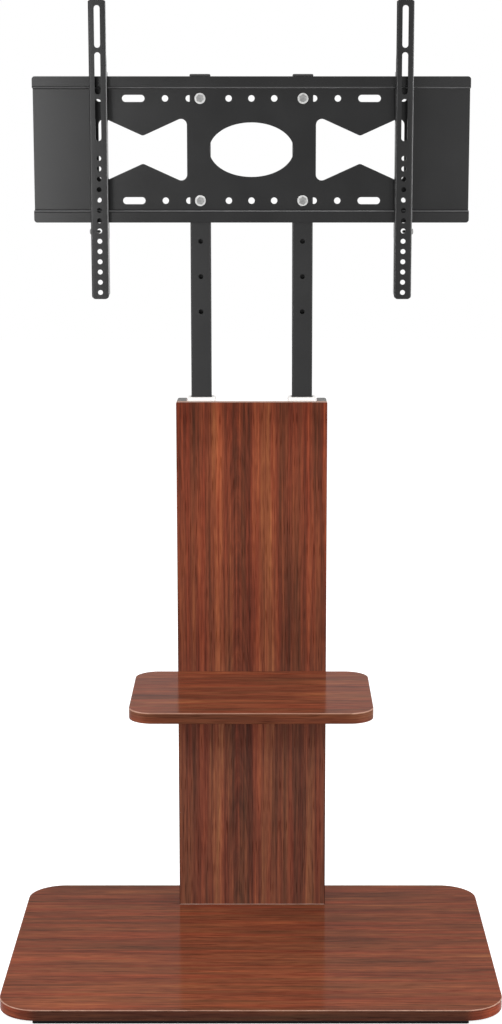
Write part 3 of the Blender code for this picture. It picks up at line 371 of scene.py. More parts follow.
def walnut(name, seed, tint=(1.0, 1.0, 1.0), run=4.0, contrast=1.0, waver=0.003, belts=0.30,
           turn=None, front=False):
    """Printed walnut: tint shifts its tones, run is the streaks' rate along the grain."""
    look, tree, shader = finish(name)
    grain = wire(tree, "ShaderNodeUVMap", uv_map="grain").outputs[0]
    wander = noise(tree, grain, (2.4, 11.0, 1.0), seed, 1.0)
    push = number(tree, "MULTIPLY_ADD", wander, 2.0 * waver, -waver)
    shift = wire(tree, "ShaderNodeCombineXYZ", {"Y": push}).outputs[0]
    led = wire(tree, "ShaderNodeVectorMath", {0: grain, 1: shift}, operation="ADD").outputs[0]

    tone, lines = print_layers(tree, led, seed, run, belts)
    tone = number(tree, "MULTIPLY_ADD", growth_rings(tree, led, seed, run), 0.12, tone)
    if front:
        tone = number(tree, "ADD", tone, column_stripes(tree, grain, push, seed))
        tone = number(tree, "ADD", tone, arches(tree, grain, seed + 23))
    tone = number(tree, "MULTIPLY_ADD", tone, contrast, 0.50)
    stops = [(p, tuple(c * t for c, t in zip(colour, tint))) for p, colour in WALNUT_TONES]

    pores = noise(tree, grain, (30.0, 1000.0, 1.0), seed + 17, 0.0)
    dashes = ramp(tree, pores, [(0.30, (0.62, 0.56, 0.54)), (0.40, grey(1.0))])
    hue = ramp(tree, noise(tree, led, (0.7 * run, 75.0, 1.0), seed + 29, 2.0), [
        (0.36, (1.06, 0.91, 0.92)), (0.50, grey(1.0)), (0.64, (0.94, 1.06, 1.02))])
    colour = product(tree, product(tree, ramp(tree, tone, stops), dashes), hue)
    # the front board's colour takes the drift and the painted shade under the shelf
    if front:
        colour = product(tree, colour, column_drift_and_shade(tree, grain))
    # painted shade: a ramp over the distance from the middle darkens a band along the front and
    # leaves its corners lighter
    if turn:
        where = wire(tree, "ShaderNodeTexCoord").outputs["Object"]
        aside = wire(tree, "ShaderNodeSeparateXYZ", {0: where}).outputs["X"]
        colour = product(tree, colour, ramp(tree, number(tree, "ABSOLUTE", aside), turn, True))

    tree.links.new(colour, shader.inputs["Base Color"])
    tree.links.new(spread(tree, lines, 0.08, 0.16), shader.inputs["Roughness"])
    shader.inputs["IOR"].default_value = CLEAR_COAT_IOR
    bump = wire(tree, "ShaderNodeBump", {"Strength": 0.06, "Distance": 0.0002, "Height": lines})
    tree.links.new(bump.outputs[0], shader.inputs["Normal"])
    return look


print("walnut runs over", len(WALNUT_TONES), "tones")

# %% [markdown]
# Each board is cut from another place of the print, so each gets its own seed, and a tint and a
# contrast of its own. The edge bands are a separate strip that is glued on. Their colour carries a
# painted shade: darker along the front and lighter round the corners, as light falls on them, and
# changing gradually from one to the other. Two finishes side by side would show a hard step there,
# so the band's colour is multiplied by a ramp over the distance from the stand's middle.

# %% Make the walnut finishes
# painted shade on the edge bands: darker along the front than round the corners
BASE_BAND_SHADE = ((0.292, (0.28, 0.433, 0.535)), (0.312, (0.57, 0.63, 0.70)), (0.334, grey(1.0)))
SHELF_BAND_SHADE = ((0.130, (0.61, 0.53, 0.48)), (0.147, (0.73, 0.68, 0.62)), (0.162, grey(1.0)))

base_walnut = walnut("walnut, base", 4.0, (1.05, 1.14, 1.06), 5.0, 0.66, 0.0015, 0.62)
shelf_walnut = walnut("walnut, shelf", 31.0, (0.95, 1.04, 0.97), 6.0, 0.62, 0.0015, 0.62)
column_walnut = walnut("walnut, column front", 53.0, (0.98, 0.97, 0.96), 3.0, 0.9, 0.0015, 0.10,
                       front=True)
side_walnut = walnut("walnut, column sides", 71.0)
base_band = walnut("walnut, base edge band", 83.0, (1.28, 1.24, 1.14), 5.0, 0.6, turn=BASE_BAND_SHADE)
shelf_band = walnut("walnut, shelf edge band", 97.0, (1.03, 1.36, 1.42), 5.0, 0.5, turn=SHELF_BAND_SHADE)
# painted shade: the front board's upright chamfers are a much darker copy of the walnut
column_edge_shade = walnut("walnut, column edges, painted shade", 83.0, (0.24, 0.29, 0.32), 5.0, 0.5)
print("walnut finishes:", sum(m.name.startswith("walnut") for m in bpy.data.materials))

# %% [markdown]
# ## Scraped chamfers and grey caps
#
# Where the laminate meets the edge band, the corner is scraped to a narrow chamfer, and the pale
# core of the band shows as a thin tan line along the front of the base and the shelf. Round the
# boards' corners the same chamfer is painted lighter, and along the foot of the column much paler:
# painted highlights, as light falls on those faces. The upright side boards end at the top in plain
# grey caps. A line this thin could be painted in the walnut's own nodes, but as a finish of its own
# it sits exactly on the faces that the scraping makes. All of these have one colour that drifts a
# little, so one helper makes them, and the plastics too.

# %% The scraped chamfers and the grey caps
def flecked(name, tones, stretch, seed, rough, bump=0.0, specular=0.5):
    """A finish whose colour drifts between a few near tones, with a slightly uneven surface."""
    look, tree, shader = finish(name)
    where = wire(tree, "ShaderNodeTexCoord").outputs["Object"]
    cloud = noise(tree, where, stretch, seed, 3.0, 0.6)
    share = 1.0 / (len(tones) - 1)
    stops = [(0.30 + 0.40 * i * share, tone) for i, tone in enumerate(tones)]
    tree.links.new(ramp(tree, cloud, stops), shader.inputs["Base Color"])
    tree.links.new(spread(tree, cloud, rough - 0.06, rough + 0.06), shader.inputs["Roughness"])
    shader.inputs["Specular IOR Level"].default_value = specular
    if bump:
        raised = wire(tree, "ShaderNodeBump", {
            "Strength": bump, "Distance": 0.0002, "Height": cloud})
        tree.links.new(raised.outputs[0], shader.inputs["Normal"])
    return look


def chamfer(name, dark, light, stretch=(60, 60, 200)):
    """The bare core of an edge band, where it is scraped."""
    return flecked(name, (dark, light), stretch, 5.0, 0.40, specular=0.05)


shelf_line = chamfer("tan chamfer, shelf", (0.20, 0.090, 0.058), (0.35, 0.190, 0.135),
                     (14, 14, 200))
tan_line = chamfer("tan chamfer", (0.26, 0.135, 0.092), (0.39, 0.235, 0.175))
# painted highlights: the corners' and the foot's chamfers are lighter copies of the same tan core
corner_highlight_line = chamfer("tan chamfer, corners, painted highlight", (0.31, 0.155, 0.108), (0.46, 0.265, 0.195))
foot_highlight_line = chamfer("tan chamfer, foot, painted highlight", (0.56, 0.36, 0.28), (0.72, 0.50, 0.41))
grey_cap = flecked("grey end cap", ((0.070, 0.066, 0.062), (0.11, 0.105, 0.10)), (300, 300, 300),
                   9.0, 0.45, specular=0.12)
print("edge finishes:", [m.name for m in (shelf_line, tan_line, corner_highlight_line, foot_highlight_line, grey_cap)])

# %% [markdown]
# ## Black powder coat
#
# The steel is sprayed with powder and baked, which leaves a satin black skin with a faint ripple,
# like orange peel. Plain black would look like a hole in the picture: what shows is the gloss. So a
# fine noise drives the bump, and a wider one makes the gloss uneven. Each group of pieces has its
# own tone and gloss. Along some folds and edges a much lighter grey is painted on, as a painted
# highlight where light catches them.

# %% The powder coat
def powder_coat(name, tone, rough, seed, sheen=0.29):
    """Satin black paint on steel: fine ripple, uneven gloss and a trace of dust."""
    look, tree, shader = finish(name)
    where = wire(tree, "ShaderNodeTexCoord").outputs["Object"]
    cloud = noise(tree, where, (16.0,) * 3, seed, 3.0)
    peel = noise(tree, where, (950.0,) * 3, seed + 5, 1.0)
    grit = noise(tree, where, (3800.0,) * 3, seed + 9, 0.0)
    stops = [(0.3, tuple(t * 0.86 for t in tone)), (0.7, tuple(t * 1.16 for t in tone))]
    tree.links.new(ramp(tree, cloud, stops), shader.inputs["Base Color"])
    tree.links.new(spread(tree, cloud, rough - 0.04, rough + 0.04), shader.inputs["Roughness"])
    height = number(tree, "MULTIPLY_ADD", grit, 0.25, peel)
    bump = wire(tree, "ShaderNodeBump", {"Strength": 0.05, "Distance": 0.00006, "Height": height})
    tree.links.new(bump.outputs[0], shader.inputs["Normal"])
    shader.inputs["Specular IOR Level"].default_value = sheen
    return look


COAT = "black powder coat, "
plate_coat = powder_coat(COAT + "plate", (0.0058, 0.0058, 0.0060), 0.22, 3.0)
arm_coat = powder_coat(COAT + "arms", (0.0066, 0.0066, 0.0068), 0.25, 13.0, 0.27)
post_coat = powder_coat(COAT + "posts", (0.0052, 0.0052, 0.0054), 0.34, 23.0)
# painted highlights: light greys that stand in for the light that folds and edges catch
fold_highlight_coat = powder_coat(COAT + "painted fold highlight", (0.125, 0.125, 0.127), 0.40, 43.0)
edge_highlight_coat = powder_coat(COAT + "painted edge highlight", (0.27, 0.27, 0.272), 0.40, 47.0)
base_coat = powder_coat(COAT + "base plate", (0.0030, 0.0030, 0.0030), 0.60, 53.0, 0.08)
frame_coat = powder_coat(COAT + "inner frame", (0.0130, 0.0130, 0.0132), 0.52, 33.0)
print("powder coats:", sum(m.name.startswith(COAT) for m in bpy.data.materials))

# %% [markdown]
# ## Zinc, plastics and rubber
#
# The bolts are zinc plated: metal, pale grey, with faint clouds and fine brush marks in the gloss.
# The heads' plating is a darker copy and the washers' a lighter one: a painted difference in
# reflection.
# A real brushed surface has scratches, but on a head of ten millimetres an uneven roughness is
# enough. The collars, caps and knobs are moulded plastic, with one tone, a fine grain and a soft
# gloss. The foot pads are dull black rubber.

# %% The zinc, the plastics and the rubber
def zinc_plate(name, dark, light, seed):
    """Pale plated metal with faint clouds and a brushed gloss."""
    look, tree, shader = finish(name)
    where = wire(tree, "ShaderNodeTexCoord").outputs["Object"]
    cloud = noise(tree, where, (260.0,) * 3, seed, 3.0)
    stops = [(0.3, (dark, dark, dark * 0.99)), (0.7, (light, light, light * 0.98))]
    tree.links.new(ramp(tree, cloud, stops), shader.inputs["Base Color"])
    shader.inputs["Metallic"].default_value = 1.0
    brushed = noise(tree, where, (1500.0, 1500.0, 120.0), seed + 6, 1.0)
    tree.links.new(spread(tree, brushed, 0.30, 0.48), shader.inputs["Roughness"])
    return look


# painted reflection: the washers' zinc is a lighter copy of the heads' zinc, for the brighter
# reflection that the washers show
zinc = zinc_plate("zinc plate, heads", 0.15, 0.22, 2.0)
washer_zinc_with_painted_reflection = zinc_plate("zinc plate, washers, painted reflection", 0.36, 0.48, 12.0)
white_plastic = flecked("white plastic", ((0.80, 0.775, 0.75), (0.84, 0.82, 0.80)), (90,) * 3,
                        6.0, 0.38, 0.05)
black_plastic = flecked("black moulded plastic", (grey(0.010), grey(0.020)), (1400,) * 3,
                        4.0, 0.50, 0.35)
rubber = flecked("black rubber", (grey(0.008), grey(0.018)), (500,) * 3, 7.0, 0.85, 0.5, 0.3)
print("finishes in all:", len(bpy.data.materials))

# %% [markdown]
# ## From outlines to bodies
#
# Boards, tubes, caps and knobs are all outlines carried along a line. The first helpers draw an
# outline and round its corners. Writing the mesh in code, and not adding a stock cube, gives every
# corner its real radius.

# %% Draw outlines
def bend(before, corner, after, radius, steps):
    """Points of the arc that rounds one corner of a line."""
    here = Vector(corner)
    back = (Vector(before) - here).normalized()
    ahead = (Vector(after) - here).normalized()
    half = back.angle(ahead) / 2
    centre = here + (back + ahead).normalized() * radius / math.sin(half)
    reach = radius / math.tan(half)
    start = (here + back * reach - centre).normalized()
    end = (here + ahead * reach - centre).normalized()
    return [centre + radius * start.slerp(end, k / steps) for k in range(steps + 1)]


def rounded(corners, steps=8):
    """A closed outline through (x, y, radius) corners."""
    points = []
    befores, afters = [corners[-1], *corners], [*corners[1:], corners[0]]
    for before, corner, after in zip(befores, corners, afters):
        if corner[2]:
            points += bend(before[:2], corner[:2], after[:2], corner[2], steps)
        else:
            points.append(Vector(corner[:2]))
    return [tuple(point) for point in points]


def oblong(width, depth, radius=0.0, centre=(0.0, 0.0), steps=8):
    """A rectangle with rounded corners."""
    x, y, w, d = *centre, width / 2, depth / 2
    corners = ((x - w, y - d), (x + w, y - d), (x + w, y + d), (x - w, y + d))
    return rounded([(*corner, radius) for corner in corners], steps)


def turns(count):
    """Angles that divide a full turn evenly."""
    return [2 * math.pi * k / count for k in range(count)]


def disc(radius, count=32, centre=(0.0, 0.0)):
    """Points on a circle."""
    return [(centre[0] + radius * math.cos(t), centre[1] + radius * math.sin(t))
            for t in turns(count)]


print("outline helpers ready; a test oblong has", len(oblong(1, 1, 0.1)), "points")

# %% [markdown]
# The next helpers stack outlines into a closed body, as a potter stacks rings of clay: neighbouring
# rings are joined by a band of faces, and the two ends are capped or joined to each other. A tube
# is a stack that turns back inside itself, and a rod is a stack of two circles. Modifiers such as
# Screw and Solidify could make these shapes too, but a stack says where every ring lies.

# %% Stack outlines into bodies
def stack(rings, closed=False):
    """A body through rings of 3-D points: its ends are capped, or joined to each other."""
    body = bmesh.new()
    loops = [[body.verts.new(point) for point in outline] for outline in rings]
    pairs = list(zip(loops, loops[1:]))
    if closed:
        pairs.append((loops[-1], loops[0]))
    else:
        body.faces.new(loops[0])
        body.faces.new(loops[-1])
    for low, high in pairs:
        for i in range(len(low)):
            j = (i + 1) % len(low)
            body.faces.new((low[i], low[j], high[j], high[i]))
    bmesh.ops.recalc_face_normals(body, faces=body.faces)
    return body


def ring(outline, height, share=1.0):
    """An outline laid at a height, and drawn in or out about the axis if asked."""
    return [(x * share, y * share, height) for x, y in outline]


def levels(sections, closed=False):
    """Outlines in the XY plane at their heights."""
    return stack([ring(plan, z) for z, plan in sections], closed)


def standing_tube(low, high, outer, inner):
    """An upright tube between two heights."""
    return levels([(low, outer), (high, outer), (high, inner), (low, inner)], closed=True)


def lathed(profile, centre, count=32, closed=False):
    """(radius, y) steps turned about a line along Y."""
    return stack([[(x, y, z) for x, z in disc(r, count, centre)] for r, y in profile], closed)


def barrel(radius, start, end, centre, count=32):
    """A round rod along Y, to cut with or to weld on."""
    return lathed([(radius, start), (radius, end)], centre, count)


print("a test rod has", len(barrel(0.003, 0.0, 0.01, (0, 0)).faces), "faces")

# %% [markdown]
# A finished piece needs its normals, its finishes, a soft edge and a body to ride on. Sharp metal
# edges are never truly sharp: a bevel of a few tenths of a millimetre catches the light, and
# weighted normals keep the flat faces looking flat beside it.

# %% Finish and fit a piece
def solid(name, body):
    """An object from a mesh under construction."""
    data = bpy.data.meshes.new(name)
    body.to_mesh(data)
    body.free()
    made = bpy.data.objects.new(name, data)
    scene.collection.objects.link(made)
    return made


def carve(made, cutter, operation="DIFFERENCE"):
    """Cuts a body with another, or welds it on, and keeps only the result."""
    guide = solid("guide", cutter)
    change = made.modifiers.new("carve", "BOOLEAN")
    change.object, change.operation, change.solver = guide, operation, "EXACT"
    bpy.context.view_layer.update()
    shaped = made.evaluated_get(bpy.context.evaluated_depsgraph_get())
    result = bpy.data.meshes.new_from_object(shaped)
    made.modifiers.clear()
    made.data = result
    bpy.data.objects.remove(guide)
    return made


def fit(made, body, looks, nodes, ease=0.0, sharp=32):
    """Smooths, eases and paints a piece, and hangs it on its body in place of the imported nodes."""
    data = made.data
    for look in (looks if isinstance(looks, (list, tuple)) else [looks]):
        data.materials.append(look)
    data.shade_smooth()
    data.set_sharp_from_angle(angle=math.radians(sharp))
    if ease:
        soft = made.modifiers.new("eased edges", "BEVEL")
        soft.width, soft.segments, soft.limit_method = ease, 2, "ANGLE"
        soft.angle_limit, soft.harden_normals = math.radians(sharp), False
    flat = made.modifiers.new("flat faces", "WEIGHTED_NORMAL")
    flat.keep_sharp = not ease
    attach(made, body)
    if nodes:
        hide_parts(*([nodes] if isinstance(nodes, str) else nodes))
    return made


def box_of(node):
    """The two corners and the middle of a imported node's box."""
    low, high = (Vector(corner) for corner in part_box(node))
    return low, high, (low + high) / 2


def spot(node):
    """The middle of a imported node's box."""
    return box_of(node)[2]


print("base board middle:", tuple(round(v, 4) for v in spot("base_board")))

# %% [markdown]
# ## The lying boards
#
# The base and the shelf are 15 mm boards with rounded corners. A cube with a bevel would be
# quicker, but its map would not follow the edge. So each board is an outline carried through the
# thickness, with its long edges scraped to a narrow chamfer. The grain map runs along X on the
# flat, and once round the outline on the edge band, as the band itself is glued on in one strip.
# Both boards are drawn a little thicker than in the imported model, as the picture shows them.

# %% Build the base and the shelf
BASE_THICKER = 0.0008
SHELF_THICKER = 0.0010


def scrape(body, edges, width, look, segments=2):
    """Takes the corner off some edges, and gives the new faces a finish."""
    bmesh.ops.bevel(body, geom=edges, offset=width, segments=segments, profile=0.5,
                    affect="EDGES", material=look)


def map_band(body, plan):
    """Writes the grain map: flat faces by X and Y, the band by the way round the outline."""
    run = [0.0]
    for a, b in zip(plan, plan[1:] + plan[:1]):
        run.append(run[-1] + math.dist(a, b))
    grain = body.loops.layers.uv.new("grain")
    for face in body.faces:
        flat = abs(face.normal.z) > 0.6
        rounds = []
        for loop in face.loops:
            x, y, _ = loop.vert.co
            nearest = min(range(len(plan)),
                          key=lambda k: (plan[k][0] - x) ** 2 + (plan[k][1] - y) ** 2)
            rounds.append(run[nearest])
        for loop, along in zip(face.loops, rounds):
            if max(rounds) - along > run[-1] / 2:
                along += run[-1]
            x, y, z = loop.vert.co
            loop[grain].uv = (x, y) if flat else (along, z + 0.7)


def lying_board(name, node, corner, looks, width, thicker):
    """A board that lies flat: looks are laminate, chamfer, edge band and the corners' chamfer."""
    low, high, _ = box_of(node)
    low.z -= thicker
    middle = (low + high) / 2
    plan = oblong(high.x - low.x, high.y - low.y, corner, (middle.x, middle.y), 20)
    body = levels([(low.z, plan), (high.z, plan)])
    rims = [e for e in body.edges if abs(e.verts[0].co.z - e.verts[1].co.z) < 1e-6]
    scrape(body, rims, width, 1)
    body.normal_update()
    for face in body.faces:
        out, scraped = face.normal, face.material_index == 1
        if scraped and out.z > 0 and out.y < -0.1:
            face.material_index = 3 if abs(out.x) > 0.05 else 1
        elif scraped or abs(out.z) <= 0.6:
            face.material_index = 2
    map_band(body, plan)
    fit(solid(name, body), "stand", looks, node, sharp=50)
    print(name, "is", [round(v * 1000, 1) for v in high - low], "mm")


lying_board("walnut_base", "base_board", 0.055,
            [base_walnut, tan_line, base_band, corner_highlight_line], 0.0011, BASE_THICKER)
lying_board("walnut_shelf", "shelf", 0.035,
            [shelf_walnut, shelf_line, shelf_band, corner_highlight_line], 0.0013, SHELF_THICKER)

# %% [markdown]
# ## The standing boards
#
# The column is three upright boards: a wide one in front and two narrow ones behind its edges. The
# grain runs up them. Their outer top corners are rounded, their upright edges are scraped, and the
# cut at the foot is scraped widest. The front board's upright chamfers are painted darker, a painted
# shade, and its chamfer at the foot is painted pale, a painted highlight where the column meets the
# base. The bevel operator does the scraping edge by edge, which a modifier could not, as each kind
# of edge has its own width and finish. The print of each board is shifted sideways by its own
# amount, because no two are cut alike.

# %% Build the column's boards
TOP_SCRAPE, FOOT_SCRAPE, UPRIGHT_SCRAPE = 0.0009, 0.0014, 0.0010


def top_end(edge, middle):
    """-1 or 1 for an edge across the top of a board at its left or right, 0 for any other."""
    if any(v.co.z < middle.z for v in edge.verts):
        return 0
    sides = {math.copysign(1, v.co.x - middle.x) for v in edge.verts}
    return sides.pop() if len(sides) == 1 else 0


def standing_board(name, node, looks, crown, shoulders, shift):
    """A board that stands upright: looks are laminate, top chamfer, ends, sides and foot."""
    low, high, middle = box_of(node)
    plan = oblong(high.x - low.x, high.y - low.y, 0.0, (middle.x, middle.y))
    body = levels([(low.z, plan), (high.z, plan)])
    scrape(body, [e for e in body.edges if top_end(e, middle) in shoulders], crown, 2, 5)
    body.normal_update()
    for face in body.faces:
        if abs(face.normal.z) > 0.99:
            face.material_index = 2
    rims = [e for e in body.edges
            if sorted(abs(round(f.normal.z, 2)) for f in e.link_faces) == [0.0, 1.0]]
    tops = [e for e in rims if e.verts[0].co.z > middle.z]
    feet = [e for e in rims if e.verts[0].co.z < middle.z]
    scrape(body, tops, TOP_SCRAPE, 1)
    scrape(body, feet, FOOT_SCRAPE, 4)
    uprights = [e for e in body.edges if abs(e.verts[0].co.z - e.verts[1].co.z) > 0.5]
    scrape(body, uprights, UPRIGHT_SCRAPE, 3)
    grain = body.loops.layers.uv.new("grain")
    body.normal_update()
    for face in body.faces:
        for loop in face.loops:
            x, y, z = loop.vert.co
            if abs(face.normal.z) > 0.6:
                loop[grain].uv = (x, y)
            elif abs(face.normal.y) > 0.6:
                loop[grain].uv = (z, x + shift)
            else:
                loop[grain].uv = (z, y + 0.37 + shift)
    fit(solid(name, body), "stand", looks, node, sharp=50)
    print(name, "is", [round(v * 1000, 1) for v in high - low], "mm")


front_looks = [column_walnut, tan_line, tan_line, column_edge_shade, foot_highlight_line]
side_looks = [side_walnut, side_walnut, grey_cap, side_walnut, side_walnut]
for side, looks, crown, shoulders, shift in (
        ("front", front_looks, 0.0018, (-1, 1), 0.0014),
        ("left", side_looks, 0.0035, (-1,), 0.5),
        ("right", side_looks, 0.0035, (1,), 0.9)):
    standing_board(f"walnut_column_{side}", f"column_{side}_board", looks, crown, shoulders, shift)

# %% [markdown]
# ## Sheet metal: cut flat, then fold
#
# A press first cuts the whole outline and all the holes in a flat blank, and a folding machine then
# bends it. A folded plate could also be cut with a boolean for each hole, but with dozens of holes
# that is slow, and leaves long thin faces over the bends. The order of the workshop is better in
# code too. The blank is filled with triangles by a constrained triangulation, with extra rows of
# points where it bends. A triangle is kept if its middle is inside the outline and outside every
# hole.

# %% Cut a blank
def inside(point, loop):
    """Whether a point is inside a closed outline."""
    x, y = point
    hit = False
    for (ax, ay), (bx, by) in zip(loop, loop[1:] + loop[:1]):
        if (ay > y) != (by > y) and x < (bx - ax) * (y - ay) / (by - ay) + ax:
            hit = not hit
    return hit


def triangle_middle(verts, face):
    """The middle of one triangle of a blank."""
    return sum((verts[v] for v in face), Vector((0, 0))) / 3


def cut_blank(outline, holes, rows):
    """Triangles of a flat sheet with holes; rows are straight lines that it may bend along."""
    points, edges = [], []
    for loop in (outline, *holes):
        first = len(points)
        points += [Vector(p) for p in loop]
        edges += [(first + k, first + (k + 1) % len(loop)) for k in range(len(loop))]
    for a, b in rows:
        edges.append((len(points), len(points) + 1))
        points += [Vector(a), Vector(b)]
    verts, _, faces, *_ = delaunay_2d_cdt(points, edges, [], 0, 1e-7)
    boxes = []
    for hole in holes:
        xs, ys = zip(*hole)
        boxes.append((min(xs), max(xs), min(ys), max(ys), hole))
    kept = []
    for face in faces:
        x, y = triangle_middle(verts, face)
        if inside((x, y), outline) and not any(
                a < x < b and c < y < d and inside((x, y), hole) for a, b, c, d, hole in boxes):
            kept.append(face)
    return verts, kept


test_blank = cut_blank(oblong(0.04, 0.02), [disc(0.005)], [])
print("a test blank with one hole has", len(test_blank[1]), "triangles")

# %% [markdown]
# Each point of the blank is then moved to its place on the fold line, and the sheet gets its
# thickness on both sides of that line. This keeps the holes round and the sheet evenly thick.
# Outer faces can take a second finish, a painted highlight along a fold.

# %% Fold a blank
def folded_sheet(outline, holes, rows, place, thickness, highlighted=lambda x, y: False):
    """A folded sheet: place gives each blank point its middle and its outward direction."""
    verts, faces = cut_blank(outline, holes, rows)
    body = bmesh.new()
    front, rear = {}, {}
    for v in sorted({v for face in faces for v in face}):
        middle, out = place(*verts[v])
        front[v] = body.verts.new(middle + out * thickness / 2)
        rear[v] = body.verts.new(middle - out * thickness / 2)
    sides = []
    for face in faces:
        outer = body.faces.new([front[v] for v in face])
        outer.material_index = int(highlighted(*triangle_middle(verts, face)))
        body.faces.new([rear[v] for v in reversed(face)])
        sides += zip(face, face[1:] + face[:1])
    shared = set(sides)
    for a, b in sides:
        if (b, a) not in shared:
            body.faces.new((front[b], front[a], rear[a], rear[b]))
    bmesh.ops.recalc_face_normals(body, faces=body.faces)
    return body


def fold_line(corners, steps):
    """The sheet's middle line with its bends, as (run, point, outward) samples."""
    path = [Vector(corners[0][:2])]
    for before, corner, after in zip(corners, corners[1:], corners[2:]):
        path += bend(before[:2], corner[:2], after[:2], corner[2], steps)
    path.append(Vector(corners[-1][:2]))
    samples, run = [], 0.0
    for k, point in enumerate(path):
        if k:
            run += (point - path[k - 1]).length
        before = (point - path[k - 1]).normalized() if k else None
        after = (path[k + 1] - point).normalized() if k + 1 < len(path) else None
        along = ((before or after) + (after or before)).normalized()
        samples.append((run, point, Vector((along.y, -along.x))))
    return samples


def on_fold(samples, run):
    """The point and outward direction at one distance along a fold line."""
    for (r0, p0, n0), (r1, p1, n1) in zip(samples, samples[1:]):
        if run <= r1 + 1e-9:
            share = (run - r0) / (r1 - r0)
            return p0.lerp(p1, share), n0.lerp(n1, share).normalized()
    (r0, p0, n0), (r1, p1, n1) = samples[-2:]
    return p0 + (p1 - p0) * (run - r0) / (r1 - r0), n1


def bend_run(samples, steps, which, k):
    """How far along the sheet the k-th sample of one bend lies."""
    return samples[1 + which * (steps + 1) + k][0]


def bend_rows(samples, half):
    """Lines across a blank at every sample of its bends."""
    return [((-half - 0.01, run), (half + 0.01, run)) for run, _, _ in samples[1:-1]]


test_line = fold_line([(0, 0, 0), (0, 0.02, 0.0025), (0.012, 0.02, 0)], 7)
print("a 20 + 12 mm fold of 2.5 mm radius needs", round(test_line[-1][0] * 1000, 2), "mm of sheet")

# %% [markdown]
# ## The bracket plate
#
# The plate has a recessed web with an oval, two bow-tie openings and two rows of holes, and two
# lips that are stepped forward. Its fold line runs from the lower lip, back over the step, up the
# web and forward again. A bevel on a box would guess the bends; the line gives each its real
# radius. The blank is as long as that line, and the holes sit on its flat middle part.

# %% Draw the plate's fold line
SHEET = 0.002
PLATE_BEND = 0.0025
PLATE_STEPS = 7
LIPS = (0.0175, 0.0170)

plate_low, plate_high, _ = box_of("bracket_plate")
plate_middle = (plate_low.z + plate_high.z) / 2
half_width = (plate_high.x - plate_low.x) / 2
lip_y, web_y = plate_low.y + SHEET / 2, plate_high.y - SHEET / 2
lower_step = plate_low.z + LIPS[0] - SHEET / 2
upper_step = plate_high.z - LIPS[1] + SHEET / 2
plate_line = fold_line([
    (lip_y, plate_low.z, 0),
    (lip_y, lower_step, PLATE_BEND), (web_y, lower_step, PLATE_BEND),
    (web_y, upper_step, PLATE_BEND), (lip_y, upper_step, PLATE_BEND),
    (lip_y, plate_high.z, 0),
], PLATE_STEPS)
blank_height = plate_line[-1][0]
web_low = next(s for s in plate_line if abs(s[1].x - web_y) < 1e-6)
web_run = web_low[0] - web_low[1].y
print("plate blank", round(2000 * half_width, 1), "by", round(1000 * blank_height, 1), "mm")

# %% [markdown]
# The bow-ties are six-cornered outlines with rounded corners, and the oval is a stretched circle.
# All the small holes lie in two rows, at the heights of the bolts that hold the plate to the posts.

# %% Draw the plate's openings
BOLT_ROW = 0.07365


def at_height(z):
    """Where a height on the web lies on the flat blank."""
    return z + web_run


def bow_tie(side):
    """The opening with two wide ends and a narrow neck."""
    x, w, tall, neck = side * 0.1586, 0.0644, 0.0490, 0.0200
    y = at_height(plate_middle)
    return rounded([
        (x - w, y - tall, 0.0085), (x, y - neck, 0.006), (x + w, y - tall, 0.0085),
        (x + w, y + tall, 0.0085), (x, y + neck, 0.006), (x - w, y + tall, 0.0085),
    ], 7)


openings = [bow_tie(-1), bow_tie(1)]
openings.append([(x * 0.0618, at_height(plate_middle) + y * 0.0392) for x, y in disc(1.0, 72)])
for row in (-BOLT_ROW, BOLT_ROW):
    y = at_height(plate_middle + row)
    for place in (0.0, 0.0332, 0.0750, 0.0912, 0.1258, 0.2213):
        for side in ((-1, 1) if place else (1,)):
            openings.append(disc(0.0047, 28, (side * place, y)))
    for side in (-1, 1):
        openings.append(oblong(0.033, 0.0102, 0.00509, (side * 0.172, y), 10))
print("plate openings:", len(openings))

# %% [markdown]
# The plate is folded four times. On the outside of each lip's fold a painted highlight stands in for
# the light that the bend catches. The pointiness of the surface could drive that, but it changes
# with the mesh's density. So the half of the bend next to the lip simply gets the painted highlight.

# %% Fold the bracket plate
plate_blank = oblong(2 * half_width, blank_height, 0.0045, (0.0, blank_height / 2), 8)
lower_fold = [bend_run(plate_line, PLATE_STEPS, 0, k) for k in (3, 7)]
upper_fold = [bend_run(plate_line, PLATE_STEPS, 3, k) for k in (0, 4)]


def on_plate(x, y):
    """From the flat blank to the folded plate."""
    point, out = on_fold(plate_line, y)
    return Vector((x, point.x, point.y)), Vector((0.0, -out.x, -out.y))


def on_step(x, y):
    """Whether a blank point is on the outside of a lip's fold, where the highlight is painted."""
    return lower_fold[0] < y < lower_fold[1] or upper_fold[0] < y < upper_fold[1]


plate = solid("bracket_plate_sheet", folded_sheet(
    plate_blank, openings, bend_rows(plate_line, half_width), on_plate, SHEET, on_step))
fit(plate, "mast", [plate_coat, fold_highlight_coat], "bracket_plate", 0.00025, 40)
print(plate.name, "has", len(plate.data.polygons), "faces")

# %% [markdown]
# ## The two arms
#
# Each arm is a channel folded from one blank: a narrow face with slots and holes for the screen's
# screws, and two flanges. The flanges are cut to a hook that drops over the plate's top lip, and to
# a tab under the bottom lip. On the blank the flanges lie flat beside the face, so their profile is
# drawn as depth and height, and the depth is turned into a distance from the middle. Only the right
# half is written down, and the left half is its mirror.

# %% Draw an arm's blank
ARM_BEND = 0.0013
ARM_STEPS = 6
HOLE_PITCH, SLOT_PITCH, SLOT_LONG = 0.01488, 0.0659, 0.0596

